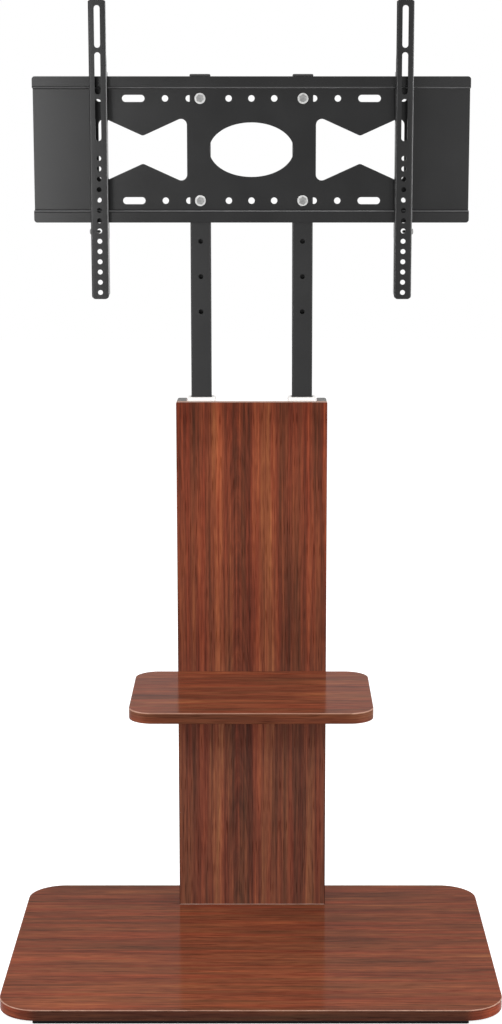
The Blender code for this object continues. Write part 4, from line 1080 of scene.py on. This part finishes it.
arm_low, arm_high, _ = box_of("left_arm")
arm_front, arm_bottom, arm_top = arm_low.y, arm_low.z, arm_high.z
arm_half = (arm_high.x - arm_low.x) / 2
arm_depth = arm_high.y - arm_low.y
arm_line = fold_line([
    (-arm_half + SHEET / 2, arm_depth, 0),
    (-arm_half + SHEET / 2, SHEET / 2, ARM_BEND), (arm_half - SHEET / 2, SHEET / 2, ARM_BEND),
    (arm_half - SHEET / 2, arm_depth, 0),
], ARM_STEPS)
arm_run = arm_line[-1][0] / 2
past_bend = arm_run - (arm_depth - SHEET / 2 - ARM_BEND)


def flange(depth):
    """Distance from the blank's middle of a point that ends up this deep behind the face."""
    return past_bend + depth - SHEET / 2 - ARM_BEND


lip_top, lip_bottom = plate_high.z, plate_low.z
edge, back = flange(0.0217), flange(arm_depth)
notch = flange(lip_y + SHEET / 2 + 0.0003 - arm_front)
right_half = [
    # the narrow top, then the slope to the hook
    (past_bend + 0.0006, arm_top, 0.0055), (past_bend + 0.0006, lip_top + 0.031, 0.0),
    (flange(0.010), lip_top + 0.021, 0.003), (flange(0.010), lip_top + 0.0058, 0.002),
    # the hook over the plate's top lip
    (back, lip_top + 0.0058, 0.003), (back, lip_top - 0.013, 0.0012),
    (notch, lip_top - 0.013, 0.0012), (notch, lip_top + 0.0003, 0.0008),
    (edge, lip_top + 0.0003, 0.0008), (edge, lip_bottom - 0.0015, 0.0008),
    # the tab under the bottom lip, and the foot
    (back, lip_bottom - 0.0015, 0.0015), (back, lip_bottom - 0.0225, 0.003),
    (edge, lip_bottom - 0.0225, 0.003), (edge, arm_bottom + 0.0065, 0.004),
    (past_bend - 0.0004, arm_bottom + 0.0058, 0.001), (past_bend - 0.0010, arm_bottom, 0.0050),
]
arm_blank = rounded(right_half + [(-x, y, r) for x, y, r in reversed(right_half)], 6)
arm_slots = [oblong(0.0085, SLOT_LONG, 0.00424, (0.0, arm_top - 0.0375 - k * SLOT_PITCH), 10)
             for k in range(3)]
arm_holes = [disc(0.0036, 24, (0.0, arm_bottom + 0.0097 + k * HOLE_PITCH)) for k in range(14)]
arm_rows = [((run - arm_run, arm_bottom - 0.01), (run - arm_run, arm_top + 0.01))
            for run, _, _ in arm_line[1:-1]]
print("arm blank", round(2000 * arm_run, 1), "mm wide for a channel",
      round(2000 * arm_half, 1), "mm wide")

# %% [markdown]
# Both arms come from the same blank, and only the hole for the safety screw is on the outer flange
# of each. On both arms alike, a painted highlight lies along the right-hand fold and the front of
# the flange behind it.

# %% Fold both arms
highlight_start = bend_run(arm_line, ARM_STEPS, 1, 3) - arm_run
highlight_end = bend_run(arm_line, ARM_STEPS, 1, 6) - arm_run + 0.004


def on_edge(x, z):
    """Whether a blank point is on the right-hand fold's painted highlight, below the narrow top."""
    return highlight_start < x < highlight_end and z < lip_top + 0.030


for side, out in (("left", -1), ("right", 1)):
    middle_x = spot(f"{side}_arm").x
    safety = spot(f"{side}_safety_nut")
    screw_hole = disc(0.0028, 24, (out * flange(safety.y - arm_front), safety.z))

    def on_arm(x, z):
        point, away = on_fold(arm_line, x + arm_run)
        place = Vector((middle_x + point.x, arm_front + point.y, z))
        return place, Vector((away.x, away.y, 0.0))

    holes = [*arm_slots, *arm_holes, screw_hole]
    arm = solid(f"{side}_arm_channel",
                folded_sheet(arm_blank, holes, arm_rows, on_arm, SHEET, on_edge))
    fit(arm, f"{side}_arm", [arm_coat, edge_highlight_coat], f"{side}_arm", 0.00025, 40)
    print(arm.name, "has", len(arm.data.polygons), "faces")

# %% [markdown]
# ## Posts
#
# The posts are drawn steel tubes with soft corners. Three spare holes below the plate and the two
# bolt holes behind it are threaded inserts that sit inside the front wall. Here a boolean is the
# right tool, because the holes are few and the wall is flat: each is cut with a rod, and backed by
# a short dark sleeve.

# %% Cut the posts
WALL = 0.0015

for side in ("left", "right"):
    low, high, middle = box_of(f"{side}_post")
    width, depth = high.x - low.x, high.y - low.y
    outer = oblong(width, depth, 0.002, middle.xy, 6)
    inner = oblong(width - 2 * WALL, depth - 2 * WALL, 0.0006, middle.xy, 6)
    post = solid(f"{side}_post_tube", standing_tube(low.z, high.z, outer, inner))
    spare = [plate_low.z - 0.028 - k * 0.0518 for k in range(3)]
    bolted = [plate_middle - BOLT_ROW, plate_middle + BOLT_ROW]
    for z, radius in [(z, 0.0036) for z in spare] + [(z, 0.0033) for z in bolted]:
        carve(post, barrel(radius, low.y - 0.003, low.y + 0.003, (middle.x, z)))
    fit(post, "mast", post_coat, f"{side}_post", 0.00015, 40)
    near, far, bore, rim = low.y + 0.0016, low.y + 0.0085, 0.0037, 0.0058
    for k, z in enumerate(spare + bolted):
        sleeve = lathed([(rim, near), (rim, far), (bore, far), (bore, near)],
                        (middle.x, z), 24, closed=True)
        fit(solid(f"{side}_post_insert_{k}", sleeve), "mast", post_coat, ())
print("post walls", 1000 * WALL, "mm, spare holes at", [round(z, 4) for z in spare])

# %% [markdown]
# A moulded plastic cap closes each post at the top. At its lower end a glide of the same kind keeps
# it off the walls of the tube that it slides in. Both have a plug that is pressed into the post,
# and a crown with a rounded edge. A bevel would round the plug as well, so the crown is drawn as
# five outlines along a quarter turn.

# %% Cap the posts
PLUG_LONG = 0.012


def plug(node, edge, up=1):
    """A moulded cap with a rounded crown and a plug that goes down, or up, into the tube."""
    low, high, middle = box_of(node)
    crown = high.z - low.z - PLUG_LONG
    seat, end = (high.z - crown, high.z) if up > 0 else (low.z + crown, low.z)
    width, depth = high.x - low.x, high.y - low.y
    sections = [
        (seat - up * PLUG_LONG, oblong(width - 0.007, depth - 0.007, 0.001, middle.xy, 5)),
        (seat, oblong(width - 0.005, depth - 0.005, 0.001, middle.xy, 5)),
        (seat, oblong(width, depth, 0.002, middle.xy, 5)),
    ]
    for k in range(5):
        turn = math.pi / 2 * k / 4
        inset = edge * (1 - math.cos(turn))
        outline = oblong(width - 2 * inset, depth - 2 * inset, 0.002, middle.xy, 5)
        sections.append((end - up * edge * (1 - math.sin(turn)), outline))
    made = solid(f"{node}_moulding", levels(sections))
    return fit(made, "mast", black_plastic, node)


for side in ("left", "right"):
    plug(f"{side}_post_cap", 0.0018)
    plug(f"{side}_post_glide", 0.0010, up=-1)

# %% [markdown]
# ## Collars
#
# A white plastic collar keeps each post centred in its tube and hides the gap. It has a low flange
# with a sloping rim, which shows as a white strip on the column's top, and a thin liner below. It
# is one closed stack: up the outside, over the rim and down through the bore.

# %% Mould the collars
# (how far the rim is drawn in, height above the column's top)
RIM_SLOPE = ((0.0, 0.0016), (0.0004, 0.0032), (0.0012, 0.0046), (0.0022, 0.0053), (0.0034, 0.0055))

for side in ("left", "right"):
    low, high, middle = box_of(f"{side}_collar")
    post_at = spot(f"{side}_post").xy
    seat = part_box("column_front_board")[1][2] + 0.0003
    wide, deep = high.x - low.x, high.y - low.y
    bore = oblong(0.0308, 0.0206, 0.002, post_at, 6)
    liner = oblong(0.0324, 0.0222, 0.0015, post_at, 6)
    sections = [(low.z, liner), (seat, liner), (seat, oblong(wide, deep, 0.003, middle.xy, 6))]
    for inset, height in RIM_SLOPE:
        outline = oblong(wide - 2 * inset, deep - 2 * inset, 0.003 - inset / 3, middle.xy, 6)
        sections.append((seat + height, outline))
    sections += [(high.z, oblong(0.0322, 0.0220, 0.0025, post_at, 6)),
                 (high.z - 0.0006, bore), (low.z, bore)]
    collar = solid(f"{side}_collar_moulding", levels(sections, closed=True))
    fit(collar, "stand", white_plastic, f"{side}_collar")
print("collars stand", round(1000 * (high.z - seat), 1), "mm above the column")

# %% [markdown]
# ## Bolts and washers
#
# Fasteners are turned or headed parts, so they are lathe profiles with a shaped head. A cylinder
# with six sides would do from afar, but real heads have their six points cut by a cone, which
# leaves curved chamfers: the height of the rim is lowered where the hexagon is widest. Each is
# drawn along Z, and then turned to its axis and moved to its place.

# %% Hex bolts and washers
ROUND = 48


def hexagon(flats):
    """A hexagon with many points, so that it can join a circle."""
    points = []
    for turn in turns(ROUND):
        off = (turn + math.pi / 6) % (math.pi / 3) - math.pi / 6
        reach = flats / 2 / math.cos(off)
        points.append((reach * math.cos(turn), reach * math.sin(turn)))
    return points


def hex_bolt(radius, flats, head, length):
    """A hex bolt along Z with the underside of its head at zero."""
    plan, shank, crown = hexagon(flats), disc(radius, ROUND), disc(0.47 * flats, ROUND)
    cone = [(x, y, head - 0.577 * (math.hypot(x, y) - 0.47 * flats)) for x, y in plan]
    return stack([
        ring(shank, -length, 0.8), ring(shank, -length + radius * 0.3), ring(shank, 0.0),
        ring(plan, 0.0, 0.94), ring(plan, head * 0.06), cone,
        ring(crown, head), ring(crown, head, 0.8), ring(crown, head - 0.0003, 0.7),
    ])


def washer(radius, bore, thickness):
    """A stamped washer with slightly rounded rims."""
    ease = thickness * 0.22
    steps = [(radius - ease, 0.0), (radius, ease),
             (radius, thickness - ease), (radius - ease, thickness),
             (bore + ease, thickness), (bore, thickness - ease), (bore, ease), (bore + ease, 0.0)]
    return levels([(z, disc(r, 40)) for r, z in steps], closed=True)


def placed(made, at, axis, turn=0.0):
    """Turns a piece drawn along Z to an axis, and moves it to its place."""
    aim = Vector(axis).to_track_quat("Z", "Y").to_matrix().to_4x4()
    made.matrix_world = Matrix.Translation(at) @ aim @ Matrix.Rotation(turn, 4, "Z")
    return made


for level in ("lower", "upper"):
    for side, turn in (("left", 0.3), ("right", 1.1)):
        node = f"{level}_{side}_plate_bolt"
        low, high, middle = box_of(node)
        bolt = solid(f"{node}_hex", hex_bolt(0.003, 0.010, 0.004, high.y - low.y - 0.004))
        placed(bolt, Vector((middle.x, low.y + 0.004, middle.z)), (0, -1, 0), turn)
        fit(bolt, "mast", zinc, node, sharp=40)
        node = f"{level}_{side}_plate_washer"
        low, high, middle = box_of(node)
        plain = solid(f"{node}_ring", washer(0.008, 0.0033, 0.0016))
        placed(plain, Vector((middle.x, high.y, middle.z)), (0, -1, 0))
        fit(plain, "mast", washer_zinc_with_painted_reflection, node, sharp=40)
print("plate bolts: head 10 mm across flats, washer 16 mm")

# %% [markdown]
# ## Screws
#
# Threads that can be seen are real ridges, made by moving the radius with the turn and the height.
# A bump would be lighter, but is flat at the outline, where a thread shows most. The pan head is a
# flattened dome, with a tapered cross recess cut in it for the driver.

# %% Threads and pan heads
def threaded(radius, pitch, start, end, count):
    """Rings of a thread: the radius dips once in each pitch, and the dip climbs round the rod."""
    rings = []
    rows = max(2, int((end - start) / pitch * 8))
    for k in range(rows + 1):
        z = start + (end - start) * k / rows
        fade = min(1.0, 6 * (rows - k) / rows, 0.4 + k / 8)
        loop = []
        for a, turn in enumerate(turns(count)):
            wave = abs(((z / pitch - a / count) % 1.0) * 2 - 1)
            reach = radius - 0.55 * pitch * (1 - wave) * fade
            loop.append((reach * math.cos(turn), reach * math.sin(turn), z))
        rings.append(loop)
    return rings


def pan_screw(name, radius, head_radius, head, length, pitch, count=24):
    """A pan-head screw along Z with a tapered cross recess."""
    shank, dome = disc(radius, count), disc(head_radius, count)
    rings = [ring(shank, -length, 0.3)]
    rings += threaded(radius, pitch, -length + radius * 0.6, -0.0002, count)
    rings += [ring(shank, 0.0), ring(dome, 0.0, 0.96)]
    for k in range(6):
        turn = math.pi / 2 * k / 6
        height = head * (0.25 + 0.75 * math.sin(turn))
        rings.append(ring(dome, height, 0.35 + 0.65 * math.cos(turn)))
    arm, wide = head_radius * 0.62, head_radius * 0.14
    quarter = [(arm, -wide), (arm, wide), (wide, wide)]
    cross = []
    for _ in range(4):
        cross += quarter
        quarter = [(-y, x) for x, y in quarter]
    recess = stack([ring(cross, head * 0.25, 0.35), ring(cross, head * 1.6)])
    return carve(solid(name, stack(rings)), recess)


wood_screw = pan_screw("wood screw", 0.002, 0.0042, 0.0024, 0.0131, 0.0016)
print("a wood screw has", len(wood_screw.data.polygons), "faces")

# %% [markdown]
# Twelve wood screws are the same, so one is made and its mesh is copied. Four hold the shelf to its
# brackets, four hold the brackets to the column, and four hold the column to the cross braces. Each
# is turned a little further than the last, because no two are driven to the same angle.

# %% Drive the wood screws
HANDS = ("left", "right")
DOWN, FRONTWARD, BACKWARD = (0, 0, -1), (0, -1, 0), (0, 1, 0)
driven = [(f"{side}_shelf_screw_{at}", DOWN) for side in HANDS for at in ("back", "front")]
driven += [(f"{side}_bracket_screw_{at}", FRONTWARD) for side in HANDS for at in ("upper", "lower")]
driven += [(f"brace_screw_{at}_{side}", BACKWARD) for at in ("lower", "upper") for side in HANDS]
for k, (node, axis) in enumerate(driven):
    low, high, middle = box_of(node)
    axis = Vector(axis)
    screw = bpy.data.objects.new(f"{node}_pan", wood_screw.data.copy())
    scene.collection.objects.link(screw)
    placed(screw, middle + axis * (max(high - low) / 2 - 0.0024), axis, 0.35 * k)
    fit(screw, "stand", zinc, node, sharp=40)
bpy.data.objects.remove(wood_screw)
print("wood screws:", len(driven))

# %% [markdown]
# The safety screw crosses the arm's outer flange under the bottom lip, and its nut sits inside, so
# that the arm cannot be lifted off by accident. Its tip shows through one of the arm's holes. It is
# made as the wood screws are, with a finer thread, and the nut is a hexagon stacked round a bore.

# %% The safety screws and nuts
for side, out in (("left", -1), ("right", 1)):
    node = f"{side}_safety_screw"
    low, high, middle = box_of(node)
    screw = pan_screw(f"{node}_pan", 0.0025, 0.0045, 0.003, high.x - low.x - 0.003, 0.0008)
    seat = (high.x if out > 0 else low.x) - out * 0.003
    placed(screw, Vector((seat, middle.y, middle.z)), (out, 0, 0), 0.6)
    fit(screw, f"{side}_arm", zinc, node, sharp=40)

    node = f"{side}_safety_nut"
    low, high, middle = box_of(node)
    plan, bore, thick = hexagon(0.008), disc(0.0028, ROUND), high.x - low.x
    nut = solid(f"{node}_hex", stack([
        ring(plan, 0.0, 0.93), ring(plan, 0.0005), ring(plan, thick - 0.0005),
        ring(plan, thick, 0.93), ring(bore, thick), ring(bore, 0.0)], closed=True))
    placed(nut, Vector((high.x if out > 0 else low.x, middle.y, middle.z)), (-out, 0, 0))
    fit(nut, f"{side}_arm", zinc, node, sharp=40)
print("safety screws at height", round(middle.z, 4))

# %% [markdown]
# ## The frame inside the column
#
# From behind the column is open, and shows two square tubes, two cross braces, a foot plate with
# four bolts and a clamp knob on each tube. Each tube has a welded boss that is threaded for the
# knob. The boss is joined to the tube by a boolean union, and the bore is then cut through both.
# The bead of weld round it is a ring whose thickness ripples, as a hand-made bead does.

# %% Tubes and bosses
TUBE_DEEP = 0.0258
BOSS_RADIUS = 0.0075


def weld_bead(centre):
    """A rippled ring of weld round a boss."""
    rings = []
    for a in turns(48):
        thick = 0.0011 + 0.00022 * math.sin(9 * a)
        loop = []
        for t in turns(8):
            reach = BOSS_RADIUS + thick * math.cos(t)
            loop.append((centre[0] + reach * math.cos(a), centre[1] + thick * math.sin(t),
                         centre[2] + reach * math.sin(a)))
        rings.append(loop)
    return stack(rings, closed=True)


for side in ("left", "right"):
    low, high, middle = box_of(f"{side}_outer_tube")
    wide, back = high.x - low.x, low.y + TUBE_DEEP
    heart = (middle.x, low.y + TUBE_DEEP / 2)
    outer = oblong(wide, TUBE_DEEP, 0.003, heart, 6)
    inner = oblong(wide - 2 * WALL, TUBE_DEEP - 2 * WALL, 0.0015, heart, 6)
    tube = solid(f"{side}_outer_tube_steel", standing_tube(low.z, high.z, outer, inner))
    clamp = (middle.x, spot(f"{side}_clamp_knob").z)
    carve(tube, barrel(BOSS_RADIUS, back - 0.0008, high.y, clamp, 40), "UNION")
    carve(tube, barrel(0.0043, back - 0.004, high.y + 0.003, clamp))
    fit(tube, "stand", frame_coat, f"{side}_outer_tube", 0.0002, 40)
    bead = solid(f"{side}_boss_weld", weld_bead((clamp[0], back - 0.0002, clamp[1])))
    fit(bead, "stand", frame_coat, ())
print("tubes", round(1000 * (high.z - low.z), 1), "mm long")

# %% [markdown]
# Two flat bars join the tubes, and the column's front board is screwed to them from behind, so that
# no screw shows from the front. Each is an outline of the bar's face carried through its thickness,
# with two holes cut for the screws.

# %% Cross braces
for node in ("lower_cross_brace", "upper_cross_brace"):
    low, high, middle = box_of(node)
    end = oblong(high.x - low.x, high.z - low.z, 0.001, (middle.x, middle.z), 3)
    brace = solid(f"{node}_bar", stack([[(x, y, z) for x, z in end] for y in (low.y, high.y)]))
    for x in (-0.035, 0.035):
        carve(brace, barrel(0.0023, low.y - 0.002, high.y + 0.002, (x, middle.z), 24))
    fit(brace, "stand", frame_coat, node, 0.0003, 40)
    print(node, "is", round(1000 * (high.x - low.x), 1), "mm long")

# %% [markdown]
# The tubes stand on a foot plate. Four bolts go through it, through the base board and into the
# steel base plate, which gives the stand its weight low down. The base plate is set back at both
# ends, and only its front edge shows, as a black line under the board. Both plates are flat bars
# with round holes, so one helper makes them.

# %% Foot plate and base plate
PLATE_TRIM = 0.0065
PLATE_DEEPER = 0.0008


def flat_bar(name, node, corner, holes, look, trim=0.0, drop=0.0, deeper=0.0):
    """A flat plate with round holes, trimmed at both ends, lowered or deepened if asked."""
    low, high, _ = box_of(node)
    low.x, high.x = low.x + trim, high.x - trim
    low.z, high.z = low.z - drop - deeper, high.z - drop
    middle = (low + high) / 2
    plan = oblong(high.x - low.x, high.y - low.y, corner, middle.xy, 14)
    made = solid(name, levels([(low.z, plan), (high.z, plan)]))
    for at in holes:
        carve(made, levels([(z, disc(0.0043, 28, at)) for z in (low.z - 0.004, high.z + 0.004)]))
    return fit(made, "stand", look, node, 0.0004, 40)


CORNERS = ("front_left", "front_right", "back_left", "back_right")
bolt_spots = [spot(f"foot_bolt_{at}").xy for at in CORNERS]
flat_bar("mast_foot_plate_steel", "mast_foot_plate", 0.004, bolt_spots, frame_coat)
flat_bar("base_plate_steel", "base_plate", 0.003, bolt_spots, base_coat,
         PLATE_TRIM, BASE_THICKER, PLATE_DEEPER)
print("foot bolts at", [tuple(round(v, 3) for v in at) for at in bolt_spots])

# %% [markdown]
# The foot bolts are larger than the plate's, with heads of 13 mm across flats, and come from the
# same helper. Four rubber pads keep the plate off the floor. They are short cylinders with a
# rounded lower rim, drawn as four circles, and start at the underside of the base plate.

# %% Foot bolts and pads
FOOT_HEAD = 0.0053

for k, at in enumerate(CORNERS):
    node = f"foot_bolt_{at}"
    low, high, middle = box_of(node)
    bolt = solid(f"{node}_hex", hex_bolt(0.004, 0.013, FOOT_HEAD, high.z - low.z - FOOT_HEAD))
    placed(bolt, Vector((middle.x, middle.y, high.z - FOOT_HEAD)), (0, 0, 1), 0.5 * k)
    fit(bolt, "stand", zinc, node, sharp=40)
for at in CORNERS:
    node = f"foot_pad_{at}"
    low, high, middle = box_of(node)
    profile = [(0.0165, low.z), (0.0175, low.z + 0.0004), (0.018, low.z + 0.001),
               (0.018, high.z - BASE_THICKER - PLATE_DEEPER)]
    pad = solid(f"{node}_rubber", levels([(z, disc(r, ROUND)) for r, z in profile]))
    pad.location = (middle.x, middle.y, 0.0)
    fit(pad, "stand", rubber, node)
print("foot pads:", len(CORNERS), "of", round(2000 * profile[-1][0], 1), "mm")

# %% [markdown]
# ## Clamp knobs
#
# A knob on the back of each tube clamps the post at its height. It is moulded with six soft lobes,
# so that a hand can turn it, on a threaded zinc stud. The lobes could be cut from a cylinder, but a
# wave added to the radius is softer and needs no cutting. The rings of stud, neck and grip are
# stacked into one body, which turns as one.

# %% Mould the clamp knobs
KNOB_LOBES = 6
KNOB_RADIUS = 0.017
KNOB_COUNT = 16 * KNOB_LOBES
GRIP_LONG = 0.014
NECK_LONG = 0.003


def lobed(share, height, waist=0.0022):
    """One ring of the grip: the waist is how deep the hollows between the lobes are."""
    loop = []
    for turn in turns(KNOB_COUNT):
        reach = share * (KNOB_RADIUS - waist * (1 - math.cos(KNOB_LOBES * turn)) / 2)
        loop.append((reach * math.cos(turn), reach * math.sin(turn), height))
    return loop


for side in ("left", "right"):
    node = f"{side}_clamp_knob"
    low, high, _ = box_of(node)
    long = high.y - low.y
    grip, neck = long - GRIP_LONG, disc(BOSS_RADIUS, KNOB_COUNT)
    rings = threaded(0.004, 0.00125, 0.0, grip - NECK_LONG, KNOB_COUNT)
    rings += [ring(neck, grip - NECK_LONG), ring(neck, grip)]
    rings += [lobed(share, z) for share, z in (
        (0.92, grip), (1.0, grip + 0.0016), (1.0, long - 0.0034),
        (0.975, long - 0.0018), (0.91, long - 0.0006), (0.80, long))]
    rings += [lobed(share, z, 0.0) for share, z in (
        (0.52, long), (0.50, long - 0.0008), (0.44, long - 0.0008), (0.42, long - 0.0002))]
    centre = Vector((spot(f"{side}_outer_tube").x, low.y, low.z + (high.z - low.z) / 2))
    knob = placed(solid(f"{node}_moulding", stack(rings)), centre, (0, 1, 0))
    fit(knob, f"{side}_knob", [black_plastic, zinc], node, sharp=40)
    for face in knob.data.polygons:
        face.material_index = int(face.center.z < grip - NECK_LONG - 0.0001)
print("knob grips", round(2000 * KNOB_RADIUS, 1), "mm across with", KNOB_LOBES, "lobes")

# %% [markdown]
# ## Shelf brackets
#
# Two short angle brackets hold the shelf to the column's front board. Each is a strip with four
# screw holes, folded at the back, with a pressed rib in the fold to keep it square. They are cut
# and folded in the same way as the bracket plate. The rib would be hard to press into a folded
# mesh, so it is a small body of its own that lies in the corner.

# %% Fold the shelf brackets
GAUGE = 0.0025
ANGLE_STEPS = 7
RIB_LONG, RIB_HALF = 0.014, 0.003


def pressed_rib(corner):
    """A rib in an inner corner: seven ridges, turned from one leg of the angle to the other."""
    rings = []
    for k in range(7):
        turn = math.pi / 2 * k / 6
        along = Vector((0.0, -math.sin(turn), -math.cos(turn))) * RIB_LONG
        bulge = math.sin(2 * turn)
        wide = RIB_HALF * (0.25 + 0.75 * bulge)
        rings.append([corner + along * s + Vector((w * wide, 0.0, 0.0)) for w, s in (
            (-1, 0.05), (-0.8, 0.6), (0, 1.0 - 0.3 * bulge), (0.8, 0.6), (1, 0.05))])
    return stack(rings)


for side in ("left", "right"):
    node = f"{side}_shelf_bracket"
    low, high, middle = box_of(node)
    angle_line = fold_line([
        (high.y - GAUGE / 2, low.z, 0),
        (high.y - GAUGE / 2, high.z - GAUGE / 2, 0.00375),
        (low.y, high.z - GAUGE / 2, 0),
    ], ANGLE_STEPS)
    total, half = angle_line[-1][0], (high.x - low.x) / 2
    strip = oblong(2 * half, total, 0.005, (0.0, total / 2), 6)
    screwed = [spot(f"{side}_bracket_screw_{at}").z - low.z for at in ("upper", "lower")]
    screwed += [total - (spot(f"{side}_shelf_screw_{at}").y - low.y) for at in ("back", "front")]
    holes = [disc(0.0023, 24, (0.0, y)) for y in screwed]

    def on_angle(x, y):
        point, out = on_fold(angle_line, y)
        return Vector((middle.x + x, point.x, point.y)), Vector((0.0, out.x, out.y))

    angle = solid(f"{node}_steel",
                  folded_sheet(strip, holes, bend_rows(angle_line, half), on_angle, GAUGE))
    fit(angle, "stand", frame_coat, node, 0.0003, 40)
    rib = pressed_rib(Vector((middle.x, high.y - GAUGE, high.z - GAUGE)))
    fit(solid(f"{side}_bracket_rib", rib), "stand", frame_coat, ())
print("shelf brackets reach", round(1000 * (high.y - low.y), 1), "mm")
